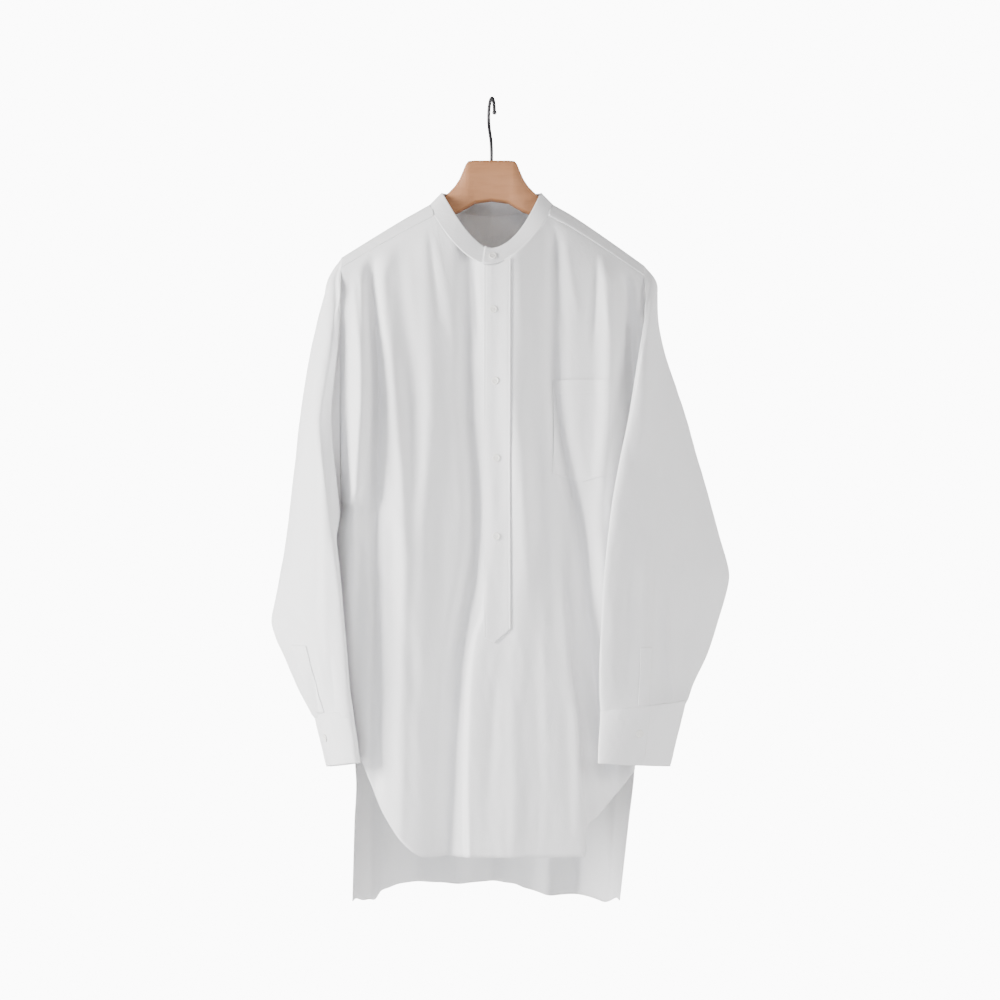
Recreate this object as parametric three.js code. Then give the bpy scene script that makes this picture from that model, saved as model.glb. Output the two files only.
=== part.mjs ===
import * as THREE from 'three';

// A long pullover shirt with a band collar, hung on a wooden hanger. Millimetres, +Z up, the front
// faces -Y, and the origin is the inner top of the hook, where the hanger hangs.

// Cloth and seams
const wall = 1.5;
const halfWall = wall / 2;
const seamGap = 0.3;
const layOn = wall + seamGap;

// Shoulders: the ridge of the cloth over the hanger's arms
const neckHalfWidth = 81;
const neckSideHeight = -138;
const shoulderSlope = 0.56;
const armholeTop = -213;
const armholeBottom = -522;
const leftArmhole = -195;
const rightArmhole = 199;

// How the cloth falls away from the ridge, to the front and to the back
const frontFall = { reach: 78, over: 150, spread: 14 };
const backFall = { reach: 74, over: 150, spread: 38 };
const sideRound = 6;
const sideTuck = { share: 0.2, over: 80 };
const foldStart = { front: 40, back: 50, side: 0.1 };
const ridgeRound = 8;

// Neck seam and collar band
const neckFrontDrop = 81;
const neckBackDrop = 8;
const neckCurve = 1.9;
const bandTopHalfWidth = 64;
const bandTopSideHeight = -121;
const bandTopFrontDrop = 78;
const bandTopCurve = { left: 1.65, right: 2 };
const bandTopFrontDepth = 47;
const bandTopBackDepth = 33;
const bandTopBackRise = 3;
const bandOverlap = 8;
const bandLap = { lift: layOn + 0.2, until: 12, over: 26 };
const neckTuck = 0.9;

// Seams and hems
const frontSeamDrop = { neck: 19, arm: 14 };
const backSeamHeight = -235;
const frontSideHem = -856;
const frontHem = -970;
const backHem = -1038;
const hemCurve = { left: { start: -98, power: 1.74 }, right: { start: 89, power: 1.3 } };

// Front opening and pocket
const placketLeft = -9;
const placketRight = 25;
const placketEnd = -696;
const placketTip = 14;
const placketPointX = 2;
const buttonDiameter = 11.5;
const buttonThickness = 2.2;
const buttonRim = { edge: 0.6, inner: 1.7, side: 0.4, dish: 0.5 };
const buttonX = 8;
const buttonHeights = [-278, -369, -467, -566];
const buttonSeat = { placket: -0.4, band: 0.4, cuff: 0.6 };
const pocket = { left: 78, right: 152, top: -367, bottom: -497, point: 10, stand: layOn + 0.8 };

const materials = {
  cotton: new THREE.MeshStandardMaterial({ color: 0xe9e9ea, roughness: 0.9, metalness: 0, name: 'cotton' }),
  wood: new THREE.MeshStandardMaterial({ color: 0xcba987, roughness: 0.55, metalness: 0, name: 'wood' }),
  wire: new THREE.MeshStandardMaterial({ color: 0x1b1b1c, roughness: 0.4, metalness: 0.8, name: 'wire' }),
  button: new THREE.MeshStandardMaterial({ color: 0xf1efe8, roughness: 0.3, metalness: 0, name: 'button' }),
};

const shirt = new THREE.Group();
const clamp = THREE.MathUtils.clamp;
const lerp = THREE.MathUtils.lerp;
const radians = THREE.MathUtils.degToRad;
const ease = (t) => THREE.MathUtils.smoothstep(t, 0, 1);

// Reads a column of a table at a height, on a smooth curve through its rows
function column(rows, key, z) {
  const last = rows.length - 1;
  if (z >= rows[0].z) return rows[0][key];
  if (z <= rows[last].z) return rows[last][key];
  const i = rows.findIndex((row, k) => k < last && z <= row.z && z >= rows[k + 1].z);
  const slope = (k) => {
    const a = rows[Math.max(k - 1, 0)];
    const b = rows[Math.min(k + 1, last)];
    return (b[key] - a[key]) / (b.z - a.z);
  };
  const step = rows[i + 1].z - rows[i].z;
  const t = (z - rows[i].z) / step;
  const t2 = t * t;
  const t3 = t2 * t;
  return rows[i][key] * (2 * t3 - 3 * t2 + 1) + rows[i + 1][key] * (3 * t2 - 2 * t3)
    + slope(i) * step * (t3 - 2 * t2 + t) + slope(i + 1) * step * (t3 - t2);
}

// Values from first to last, with the given number of steps
function spread(first, last, steps) {
  return Array.from({ length: steps + 1 }, (_, i) => lerp(first, last, i / steps));
}

// Side edges of the front and the back by height
const sides = [
  { z: -213, left: leftArmhole, right: rightArmhole },
  { z: -400, left: leftArmhole, right: rightArmhole },
  { z: -522, left: leftArmhole, right: rightArmhole },
  { z: -600, left: -202, right: 198 },
  { z: -676, left: -199, right: 196 },
  { z: -740, left: -192, right: 193 },
  { z: -880, left: -175, right: 187 },
  { z: -940, left: -184, right: 183 },
  { z: -1040, left: -182, right: 172 },
];

// Folds: where each runs at five heights, how far it stands out (+) or in (-) there, and its half width
const foldHeights = [-240, -400, -560, -740, -960];
const frontFolds = [
  { name: 'armFlap', x: [-183, -181, -180, -176, -172], out: [3, 9, 5, 3, 2], half: 9 },
  { name: 'armValley', x: [-166, -154, -158, -160, -150], out: [-7, -14, -10, -6, -5], half: 10 },
  { name: 'chestRidge', x: [-146, -136, -118, -118, -124], out: [5, 9, 7, 5, 6], half: 13 },
  { name: 'dragRidge', x: [-92, -86, -104, -92, -98], out: [1, 5, 5, 3, 2], half: 15 },
  { name: 'openingValley', x: [-40, -43, -34, -62, -84], out: [-4, -9, -10, -12, -9], half: 14 },
  { name: 'openingRidge', x: [8, 8, 8, 0, -12], out: [4, 7, 8, 3, 4], half: 20 },
  { name: 'chestValley', x: [67, 72, 99, 122, 156], out: [-5, -11, -13, -12, -9], half: 11 },
  { name: 'pocketRidge', x: [84, 92, 124, 146, 140], out: [3, 6, 6, 4, 2], half: 12 },
  { name: 'sideRidge', x: [148, 148, 148, 160, 162], out: [4, 7, 4, 3, 3], half: 12 },
  { name: 'sideValley', x: [162, 168, 165, 168, 150], out: [-7, -12, -8, -5, -3], half: 9 },
];
const backFolds = [
  { name: 'leftFlap', x: [-178, -176, -172, -166, -166], out: [2, 6, 8, 10, 12], half: 10 },
  { name: 'leftValley', x: [-150, -148, -146, -140, -142], out: [-4, -9, -12, -14, -16], half: 12 },
  { name: 'leftRidge', x: [-112, -108, -112, -104, -100], out: [3, 7, 9, 10, 12], half: 17 },
  { name: 'innerValley', x: [-62, -66, -58, -52, -44], out: [-3, -7, -9, -12, -14], half: 15 },
  { name: 'centreRidge', x: [-8, -6, 2, 6, 2], out: [3, 6, 9, 10, 9], half: 16 },
  { name: 'centreValley', x: [46, 50, 54, 66, 76], out: [-3, -8, -10, -13, -16], half: 14 },
  { name: 'rightRidge', x: [102, 100, 106, 112, 116], out: [3, 7, 9, 10, 12], half: 17 },
  { name: 'rightValley', x: [148, 146, 148, 150, 152], out: [-4, -9, -11, -12, -13], half: 12 },
  { name: 'rightFlap', x: [180, 180, 178, 174, 170], out: [2, 6, 8, 8, 8], half: 10 },
];

// The centre pleat below the placket: its two edges and how far its panel stands proud
const pleat = [
  { z: -600, left: -9, right: 93, out: 0 },
  { z: -694, left: -10, right: 101, out: 9 },
  { z: -762, left: -26, right: 109, out: 16 },
  { z: -880, left: -33, right: 116, out: 20 },
  { z: -970, left: -32, right: 122, out: 23 },
];
const pleatEdge = 3.2;

function foldColumns(fold) {
  return foldHeights.map((z, i) => ({ z, x: fold.x[i], out: fold.out[i] }));
}

const foldTables = new Map([...frontFolds, ...backFolds].map((fold) => [fold, foldColumns(fold)]));

function foldsAt(folds, x, z) {
  return folds.reduce((sum, fold) => {
    const rows = foldTables.get(fold);
    const away = (x - column(rows, 'x', z)) / fold.half;
    return sum + column(rows, 'out', z) * Math.exp(-away * away);
  }, 0);
}

function pleatAt(x, z) {
  const rise = 1 / (1 + Math.exp((column(pleat, 'left', z) - x) / pleatEdge));
  const drop = 1 / (1 + Math.exp((x - column(pleat, 'right', z)) / pleatEdge));
  return column(pleat, 'out', z) * (rise + drop - 1);
}

// The ridge's height at x, and the cloth's distance from it in depth after a drop
const ridge = (x) => neckSideHeight - shoulderSlope * (Math.abs(x) - neckHalfWidth);
const fall = (shape, drop) => shape.reach * Math.sqrt(1 - Math.exp(-Math.max(drop, 0) / shape.over));

// How far the cloth at the side edge stands from the middle plane, as a share of the panel's depth
function sideShare(z) {
  const down = clamp((armholeTop - z) / (armholeTop - armholeBottom), 0, 1);
  const tuck = sideTuck.share * ease((armholeTop - z - frontSeamDrop.arm) / sideTuck.over);
  return (1 - tuck) * Math.sqrt(1 - down ** 3);
}

// A point of the body cloth: across runs from -1 at the left edge to 1 at the right one
function bodyPoint(shape, folds, toward, across, z) {
  const x = lerp(column(sides, 'left', z), column(sides, 'right', z), (across + 1) / 2);
  const share = sideShare(z);
  const round = share + (1 - share) * Math.sqrt(Math.max(1 - Math.abs(across) ** sideRound, 0));
  const lower = ease((armholeTop - z) / (armholeTop - backHem));
  const below = toward < 0
    ? (ridge(x) - z - frontSeamDrop.neck) / foldStart.front : (backSeamHeight - z) / foldStart.back;
  const fade = ease((1 - Math.abs(across)) / foldStart.side) * ease(below);
  const folded = (foldsAt(folds, x, z) + (toward < 0 ? pleatAt(x, z) : 0)) * fade;
  const depth = (fall(shape, ridge(x) - z) + shape.spread * lower) * round + folded;
  return new THREE.Vector3(x, toward * (depth + halfWall), z);
}

const acrossAt = (x, z) => {
  const left = column(sides, 'left', z);
  return 2 * (x - left) / (column(sides, 'right', z) - left) - 1;
};

// Neck seam: front half by the front curve, back half by the back one
function neckHeight(angle) {
  const side = Math.abs(Math.sin(angle));
  const drop = Math.cos(angle) > 0 ? neckFrontDrop * (1 - side ** neckCurve) : neckBackDrop * (1 - side ** 2);
  return neckSideHeight - drop;
}

// The front's upper edge: the neck seam between the yoke seams, and the yoke seams beside it
const yokeAngle = 68;
const yokeNeckX = neckHalfWidth * Math.sin(radians(yokeAngle));

function frontTop(x) {
  const outward = Math.abs(x);
  if (outward < yokeNeckX) return neckHeight(Math.asin(outward / neckHalfWidth));
  const armX = x < 0 ? -leftArmhole : rightArmhole;
  const t = (outward - yokeNeckX) / (armX - yokeNeckX);
  return ridge(x) - lerp(frontSeamDrop.neck, frontSeamDrop.arm, t);
}

// The cloth's direction outwards at each point of a grid
function gridNormals(nodes) {
  const at = (i, j) => nodes[clamp(i, 0, nodes.length - 1)][clamp(j, 0, nodes[0].length - 1)];
  return nodes.map((line, i) => line.map((point, j) => {
    const du = at(i + 1, j).clone().sub(at(i - 1, j));
    const dv = at(i, j + 1).clone().sub(at(i, j - 1));
    return du.cross(dv).normalize();
  }));
}

// Moves each point of a grid along its normal, by a distance for each column
function movedOut(nodes, distance, normals = gridNormals(nodes)) {
  return nodes.map((line, i) => line.map((point, j) => (
    point.clone().addScaledVector(normals[i][j], distance(i)))));
}

// A closed wall round a grid of points, half of its thickness to each side
function wallGeometry(nodes, thickness = wall, normals = gridNormals(nodes)) {
  const across = nodes.length;
  const along = nodes[0].length;
  const faces = [];
  const id = (i, j, side) => (side * across + i) * along + j;
  const quad = (a, b, c, d) => faces.push(a, b, c, a, c, d);
  const skins = [0.5, -0.5].map((side) => movedOut(nodes, () => side * thickness, normals));
  const positions = skins.flat(2).flatMap((point) => point.toArray());
  for (let i = 0; i < across - 1; i += 1) {
    for (let j = 0; j < along - 1; j += 1) {
      quad(id(i, j, 0), id(i + 1, j, 0), id(i + 1, j + 1, 0), id(i, j + 1, 0));
      quad(id(i, j, 1), id(i, j + 1, 1), id(i + 1, j + 1, 1), id(i + 1, j, 1));
    }
    const end = along - 1;
    quad(id(i, 0, 0), id(i, 0, 1), id(i + 1, 0, 1), id(i + 1, 0, 0));
    quad(id(i, end, 0), id(i + 1, end, 0), id(i + 1, end, 1), id(i, end, 1));
  }
  for (let j = 0; j < along - 1; j += 1) {
    const end = across - 1;
    quad(id(0, j, 0), id(0, j + 1, 0), id(0, j + 1, 1), id(0, j, 1));
    quad(id(end, j, 0), id(end, j, 1), id(end, j + 1, 1), id(end, j + 1, 0));
  }
  const geometry = new THREE.BufferGeometry();
  geometry.setAttribute('position', new THREE.Float32BufferAttribute(positions, 3));
  geometry.setIndex(faces);
  return geometry;
}

function addPiece(name, geometry, material) {
  const mesh = new THREE.Mesh(geometry, material);
  mesh.name = name;
  shirt.add(mesh);
  return mesh;
}

// Front: columns at set distances across, rows by their height at the side edge
const frontColumns = [
  leftArmhole, -193, -189, -183, -175, -167, -160, -152, -144, -135, -125, -114, -103, -92, -yokeNeckX,
  -70, -62, -52, -43, -34, -25, -16, placketLeft, placketPointX, 14, placketRight, 34, 45, 56, 66, yokeNeckX,
  pocket.left, 86, 94, 103, 113, 123, 133, 143, pocket.right, 160, 167, 175, 183, 191, 197, rightArmhole,
];
const armholeRows = [-252, -285, -325, -370, -415, -455, -487, -508, -519];
const frontRows = [-227, ...armholeRows, -545, -580, -620, -655, -690, -725, -765, -800, -830, frontSideHem];
const frontSideTop = -227;

// The front's lower edge: straight in the middle, curved up to the side seams
function frontBottom(x) {
  const curve = x < 0 ? hemCurve.left : hemCurve.right;
  const end = x < 0 ? leftArmhole : rightArmhole;
  const t = clamp((x - curve.start) / (end - curve.start), 0, 1);
  return lerp(frontHem, frontSideHem, t ** curve.power);
}

function frontNode(x, sideHeight) {
  const t = (sideHeight - frontSideTop) / (frontSideHem - frontSideTop);
  const top = frontTop(x) - seamGap - (Math.abs(x) < yokeNeckX ? neckTuck : 0);
  const z = lerp(top, frontBottom(x), t);
  const point = bodyPoint(frontFall, frontFolds, -1, acrossAt(x, armholeTop), z);
  if (x === leftArmhole || x === rightArmhole) {
    if (z > armholeBottom) point.x -= Math.sign(x) * seamGap;
    point.y -= z > armholeBottom ? 0 : seamGap - halfWall;
  }
  return point;
}

const frontGrid = frontColumns.map((x) => frontRows.map((z) => frontNode(x, z)));
addPiece('front', wallGeometry(frontGrid), materials.cotton);

// Back: the same way, from the straight yoke seam down to the longer hem
const backColumns = [
  leftArmhole, -193, -188, -180, -170, -160, -150, -138, -126, -112, -98, -84, -70, -56, -42, -28, -14, 0,
  14, 28, 42, 56, 70, 84, 98, 112, 126, 138, 150, 160, 170, 181, 191, 197, rightArmhole,
];
const backRows = [
  backSeamHeight, ...armholeRows, -545, -590, -640, -695, -750, -805, -860, -920, -980, backHem,
];

function backNode(x, sideHeight) {
  const z = sideHeight === backSeamHeight ? sideHeight - seamGap : sideHeight;
  const point = bodyPoint(backFall, backFolds, 1, acrossAt(x, armholeTop), z);
  if (x === leftArmhole || x === rightArmhole) {
    if (z > armholeBottom) point.x -= Math.sign(x) * seamGap;
    point.y += z > armholeBottom ? 0 : seamGap - halfWall;
  }
  return point;
}

const backGrid = backColumns.map((x) => backRows.map((z) => backNode(x, z)));
addPiece('back', wallGeometry(backGrid), materials.cotton);

// Yoke: each line runs from the neck seam out to the armhole or to the back seam. Its place across the
// ridge is the root of its drop, less than zero at the front, so that the lines stay evenly apart.
const yokeArm = [
  { angle: yokeAngle, drop: -frontSeamDrop.arm },
  { angle: 75, drop: -8 },
  { angle: 82, drop: -3 },
  { angle: 90, drop: 0 },
  { angle: 98, drop: 3 },
  { angle: 106, drop: 8 },
  { angle: 116, drop: 14 },
];
const yokeBack = [
  { angle: 127, share: 1 },
  { angle: 134, share: 0.86 },
  { angle: 142, share: 0.72 },
  { angle: 150, share: 0.56 },
  { angle: 160, share: 0.38 },
  { angle: 170, share: 0.19 },
];
const yokeShares = [0.009, 0.14, 0.32, 0.5, 0.7, 0.86, 1];

function yokePoint(x, root) {
  const drop = root * root;
  const tilt = Math.min(drop / ridgeRound, 1) * Math.PI / 2;
  const toward = Math.sign(root);
  const depth = fall(toward < 0 ? frontFall : backFall, drop) + halfWall * Math.sin(tilt);
  return new THREE.Vector3(x, toward * depth, ridge(x) - drop + halfWall * Math.cos(tilt));
}

function yokeLine(side, angle, outerX, outerRoot) {
  const turned = radians(angle);
  const innerX = side * neckHalfWidth * Math.sin(turned);
  const innerDrop = Math.max(ridge(innerX) - neckHeight(turned), 0);
  const innerRoot = (angle < 90 ? -1 : 1) * Math.sqrt(innerDrop);
  return yokeShares.map((t) => yokePoint(lerp(innerX, outerX, t), lerp(innerRoot, outerRoot, t)));
}

function yokeHalf(side) {
  const armX = side < 0 ? leftArmhole + seamGap : rightArmhole - seamGap;
  const arm = yokeArm.map(({ angle, drop }) => (
    yokeLine(side, angle, armX, Math.sign(drop) * Math.sqrt(Math.abs(drop)))));
  const back = yokeBack.map(({ angle, share }) => {
    const x = armX * share;
    return yokeLine(side, angle, x, Math.sqrt(ridge(x) - backSeamHeight));
  });
  return [...arm, ...back];
}

const yokeCentre = yokeLine(1, 180, 0, Math.sqrt(ridge(0) - backSeamHeight));
const yokeGrid = [...yokeHalf(-1), yokeCentre, ...yokeHalf(1).reverse()];
addPiece('yoke', wallGeometry(yokeGrid), materials.cotton);

// Collar band: from its outer end at the front, round the neck, to its end under the first one
const bandSteps = 44;
const layerRows = spread(0, 1, 3);

function bandPoint(degrees, down) {
  const angle = radians(degrees);
  const sin = Math.sin(angle);
  const cos = Math.cos(angle);
  const side = Math.abs(sin);
  const curve = sin < 0 ? bandTopCurve.left : bandTopCurve.right;
  const drop = ridge(neckHalfWidth * sin) - neckHeight(angle);
  const low = new THREE.Vector3(
    neckHalfWidth * sin,
    -Math.sign(cos) * (fall(cos > 0 ? frontFall : backFall, drop) + halfWall * Math.abs(cos)),
    neckHeight(angle) + seamGap * 2,
  );
  const high = new THREE.Vector3(
    bandTopHalfWidth * sin,
    cos > 0 ? -bandTopFrontDepth * cos : -bandTopBackDepth * cos,
    bandTopSideHeight - (cos > 0 ? bandTopFrontDrop * (1 - side ** curve) : -bandTopBackRise * cos * cos),
  );
  return high.lerp(low, down);
}

const bandAngles = spread(-bandOverlap, 360 + bandOverlap, bandSteps);
const bandFlat = bandAngles.map((angle) => layerRows.map((down) => bandPoint(angle, down)));
const bandRise = (angle) => bandLap.lift * (1 - ease((angle - bandLap.until) / bandLap.over));
const bandGrid = movedOut(bandFlat, (i) => -bandRise(bandAngles[i]));
addPiece('collar_band', wallGeometry(bandGrid), materials.cotton);

// A value between the rows of a grid's column, at a height: a point of it, or a direction
function between(line, rows, height) {
  const k = clamp(rows.findIndex((z) => z <= height), 1, rows.length - 1);
  const t = (height - rows[k - 1]) / (rows[k] - rows[k - 1]);
  return line[k - 1].clone().lerp(line[k], t);
}

// A piece laid on a panel: the panel's own points between two heights of some of its columns, moved out
const rowClear = 1;

function overlay(grid, rows, columns, first, last, distance) {
  const inner = rows.filter((z) => z < Math.max(...first) - rowClear && z > Math.min(...last) + rowClear);
  const heights = columns.map((i, k) => [
    first[k], ...inner.map((z) => clamp(z, last[k] + rowClear, first[k] - rowClear)), last[k]]);
  const normals = gridNormals(grid);
  const directions = columns.map((i, k) => (
    heights[k].map((z) => between(normals[i], rows, z).normalize())));
  const points = columns.map((i, k) => heights[k].map((z) => between(grid[i], rows, z)));
  return wallGeometry(movedOut(points, () => distance, directions), wall, directions);
}

const columnRange = (list, from, to) => list.map((x, i) => i).filter((i) => list[i] >= from && list[i] <= to);
const sideHeightOf = (x, z) => {
  const top = frontTop(x);
  return lerp(frontSideTop, frontSideHem, (z - top) / (frontBottom(x) - top));
};

// Placket: its lower end is cut to a point off centre
const placketColumns = columnRange(frontColumns, placketLeft, placketRight);
const placketFirst = placketColumns.map(() => frontSideTop - rowClear);
const placketLast = placketColumns.map((i) => {
  const x = frontColumns[i];
  const rise = placketTip * Math.max(x - placketPointX, 0) / (placketRight - placketPointX);
  return sideHeightOf(x, placketEnd + rise);
});
const placketShape = overlay(frontGrid, frontRows, placketColumns, placketFirst, placketLast, -layOn);
addPiece('placket', placketShape, materials.cotton);

// Chest pocket
const pocketColumns = columnRange(frontColumns, pocket.left, pocket.right);
const pocketMiddle = (pocket.left + pocket.right) / 2;
const pocketFirst = pocketColumns.map((i) => sideHeightOf(frontColumns[i], pocket.top));
const pocketLast = pocketColumns.map((i) => {
  const x = frontColumns[i];
  const rise = pocket.point * Math.abs(x - pocketMiddle) / (pocketMiddle - pocket.left);
  return sideHeightOf(x, pocket.bottom + rise);
});
const pocketShape = overlay(frontGrid, frontRows, pocketColumns, pocketFirst, pocketLast, -pocket.stand);
addPiece('pocket', pocketShape, materials.cotton);

// Sleeves: flattened rings by height. The front edge is the fold towards the viewer, the outer edge is
// the fold at the elbow, half is half the sleeve's thickness, and tilt lowers the outer edge.
const sleeves = {
  left: [
    { z: -252, frontX: -201, frontY: -36, outX: -209, outY: -3, half: 8, tilt: 0 },
    { z: -285, frontX: -201, frontY: -50, outX: -219, outY: 4, half: 10, tilt: 0 },
    { z: -325, frontX: -204, frontY: -60, outX: -229, outY: 12, half: 12, tilt: 0 },
    { z: -370, frontX: -211, frontY: -68, outX: -238, outY: 20, half: 12, tilt: 0 },
    { z: -415, frontX: -217, frontY: -74, outX: -245, outY: 30, half: 12, tilt: 0 },
    { z: -455, frontX: -216, frontY: -79, outX: -251, outY: 38, half: 13, tilt: 0 },
    { z: -508, frontX: -210, frontY: -84, outX: -258, outY: 44, half: 14, tilt: 0 },
    { z: -560, frontX: -203, frontY: -89, outX: -265, outY: 48, half: 15, tilt: 0 },
    { z: -620, frontX: -196, frontY: -93, outX: -275, outY: 48, half: 15, tilt: 0 },
    { z: -676, frontX: -190, frontY: -96, outX: -283, outY: 42, half: 15, tilt: 0 },
    { z: -720, frontX: -185, frontY: -98, outX: -268, outY: 28, half: 15, tilt: -4 },
    { z: -760, frontX: -182, frontY: -98, outX: -245, outY: 14, half: 14, tilt: -9 },
    { z: -785, frontX: -180, frontY: -96, outX: -228, outY: 5, half: 14, tilt: -13 },
  ],
  right: [
    { z: -252, frontX: 203, frontY: -36, outX: 206, outY: -4, half: 8, tilt: 0 },
    { z: -285, frontX: 200, frontY: -54, outX: 207, outY: 0, half: 9, tilt: 0 },
    { z: -325, frontX: 192, frontY: -68, outX: 215, outY: 2, half: 11, tilt: 0 },
    { z: -370, frontX: 184, frontY: -82, outX: 228, outY: 2, half: 13, tilt: 0 },
    { z: -415, frontX: 176, frontY: -93, outX: 243, outY: 0, half: 15, tilt: 0 },
    { z: -455, frontX: 167, frontY: -102, outX: 257, outY: -2, half: 17, tilt: 0 },
    { z: -508, frontX: 156, frontY: -112, outX: 278, outY: -6, half: 18, tilt: 0 },
    { z: -560, frontX: 148, frontY: -119, outX: 292, outY: -10, half: 18, tilt: 0 },
    { z: -620, frontX: 141, frontY: -123, outX: 305, outY: -16, half: 17, tilt: 0 },
    { z: -676, frontX: 138, frontY: -125, outX: 298, outY: -28, half: 16, tilt: 0 },
    { z: -720, frontX: 136, frontY: -124, outX: 280, outY: -44, half: 15, tilt: 3 },
    { z: -760, frontX: 136, frontY: -119, outX: 262, outY: -62, half: 14, tilt: 7 },
    { z: -781, frontX: 137, frontY: -115, outX: 250, outY: -76, half: 14, tilt: 9 },
  ],
};
const cuffs = {
  left: {
    top: { z: -786, frontX: -181, frontY: -95, outX: -224, outY: 4, half: 13, tilt: -13 },
    bottom: { z: -851, frontX: -172, frontY: -92, outX: -208, outY: 6, half: 12, tilt: -16 },
  },
  right: {
    top: { z: -782, frontX: 138, frontY: -113, outX: 246, outY: -79, half: 13, tilt: 9 },
    bottom: { z: -848, frontX: 134, frontY: -126, outX: 226, outY: -68, half: 12, tilt: -10 },
  },
};
const cuffWall = 2;
const cuffOpening = 74;
const cuffUnder = 22;
const cuffSteps = 30;
const cuffCorner = 10;
const cuffLap = { until: 34, over: 50 };
const sleeveOpening = { from: -0.05, to: 0.1, top: -700, corner: -708 };

// A point of a flattened ring: 180 degrees is its front edge, 0 its outer edge and 90 the face that shows
function ringPoint(ring, side, degrees) {
  const angle = radians(degrees);
  const middle = new THREE.Vector3((ring.frontX + ring.outX) / 2, (ring.frontY + ring.outY) / 2, ring.z);
  const reach = new THREE.Vector3((ring.outX - ring.frontX) / 2, (ring.outY - ring.frontY) / 2, 0);
  const facing = new THREE.Vector3(side * reach.y, -side * reach.x, 0).normalize();
  const point = middle.addScaledVector(reach, Math.cos(angle));
  point.addScaledVector(facing, ring.half * Math.sin(angle));
  point.z += ring.tilt * (1 + Math.cos(angle)) / 2;
  return point;
}

const ringAt = (rows, z) => Object.fromEntries(Object.keys(rows[0]).map((key) => [
  key, key === 'z' ? z : column(rows, key, z)]));

// Where round the sleeve its columns lie, from the front of the armhole seam to the back of it
const sleeveShares = [
  -1, -0.96, -0.9, -0.82, -0.74, -0.66, -0.58, -0.52, -0.46, -0.36, -0.24, -0.12, -0.04,
  0.03, 0.09, 0.2, 0.32, 0.42, 0.49, 0.54, 0.6, 0.7, 0.8, 0.88, 0.95, 1,
];
const sleeveRows = [...armholeRows, -535, -560, -590, -620, -650, -676, -700, -722, -742, -762];
const armReach = 1.7;
const capReach = 1.2;
const capTurn = 0.4;
const seamTurn = 45;
const seamPull = 0.5;
const seamSwell = { out: 18, share: 0.3, start: 39, startOver: 60, end: 20, endOver: 70 };
const bodyClear = 9;

function sleeveEdge(side, z, toward) {
  const shape = toward < 0 ? frontFall : backFall;
  const folds = toward < 0 ? frontFolds : backFolds;
  const point = bodyPoint(shape, folds, toward, side, Math.max(z, armholeBottom));
  point.x = (side < 0 ? leftArmhole : rightArmhole) + side * armReach;
  point.z = z;
  return point;
}

function sleeveCap(side, share) {
  const frontRoot = -Math.sqrt(frontSeamDrop.arm);
  const armX = side < 0 ? leftArmhole : rightArmhole;
  const backRoot = Math.sqrt(ridge(armX) - backSeamHeight);
  const root = share < capTurn
    ? lerp(frontRoot, 1, (share + 1) / (1 + capTurn)) : lerp(1, backRoot, (share - capTurn) / (1 - capTurn));
  return yokePoint(armX + side * capReach, root);
}

// Where the sleeve lies over the front or the back, it rests just clear of that panel
function clearOfBody(side, point) {
  const edge = column(sides, side < 0 ? 'left' : 'right', point.z);
  if (side * (edge - point.x) <= 0) return point;
  const toward = point.y < 0 ? -1 : 1;
  const shape = toward < 0 ? frontFall : backFall;
  const folds = toward < 0 ? frontFolds : backFolds;
  const panel = bodyPoint(shape, folds, toward, acrossAt(point.x, point.z), point.z);
  point.y = toward * Math.max(toward * point.y, toward * panel.y + bodyClear);
  return point;
}

function sleeveNode(side, rows, share, z) {
  const ring = ringAt(rows, z);
  const point = ringPoint(ring, side, 90 - share * 180);
  const seam = ringPoint(ring, side, -90);
  const toward = share < 0 ? -1 : 1;
  const held = sleeveEdge(side, z, toward);
  const left = ease((armholeBottom - z) / seamTurn);
  const edge = held.lerp(seam, left);
  edge.z = z + ring.tilt * left / 2;
  edge.y += toward * (z > armholeBottom ? 0 : seamGap + halfWall * (1 - left));
  const pull = 1 - ease((1 - Math.abs(share)) / seamPull);
  const near = clamp((1 - Math.abs(share)) / seamSwell.share, 0, 1);
  const swell = ease((armholeTop - z - seamSwell.start) / seamSwell.startOver)
    * (1 - ease((armholeBottom - z - seamSwell.end) / seamSwell.endOver));
  point.add(edge.sub(seam).multiplyScalar(pull));
  point.x += side * seamSwell.out * swell * Math.sin(Math.PI * Math.sqrt(near));
  return clearOfBody(side, point);
}

function sleeveGrid(side, rows) {
  const last = rows[rows.length - 1].z;
  return sleeveShares.map((share) => [
    sleeveCap(side, share),
    ...[...sleeveRows, last].map((z) => sleeveNode(side, rows, share, z)),
  ]);
}

// Cuff: from the edge of its upper layer, round the wrist, to its end under that layer
function cuffGrid(side, { top, bottom }) {
  const angles = spread(cuffOpening, cuffOpening + 360 + cuffUnder, cuffSteps);
  const flat = angles.map((degrees) => {
    const high = ringPoint(top, side, degrees);
    const low = ringPoint(bottom, side, degrees);
    const edge = high.distanceTo(ringPoint(top, side, cuffOpening));
    const inCorner = clamp(1 - edge / cuffCorner, 0, 1) * (degrees < 180 ? 1 : 0);
    const reach = 1 - cuffCorner * (1 - Math.sqrt(1 - inCorner ** 2)) / high.distanceTo(low);
    return layerRows.map((down) => high.clone().lerp(low, down * reach));
  });
  const lapped = (angle) => 1 - ease((angle - cuffOpening - cuffLap.until) / cuffLap.over);
  return movedOut(flat, (i) => side * (cuffWall + seamGap) * lapped(angles[i]));
}

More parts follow.
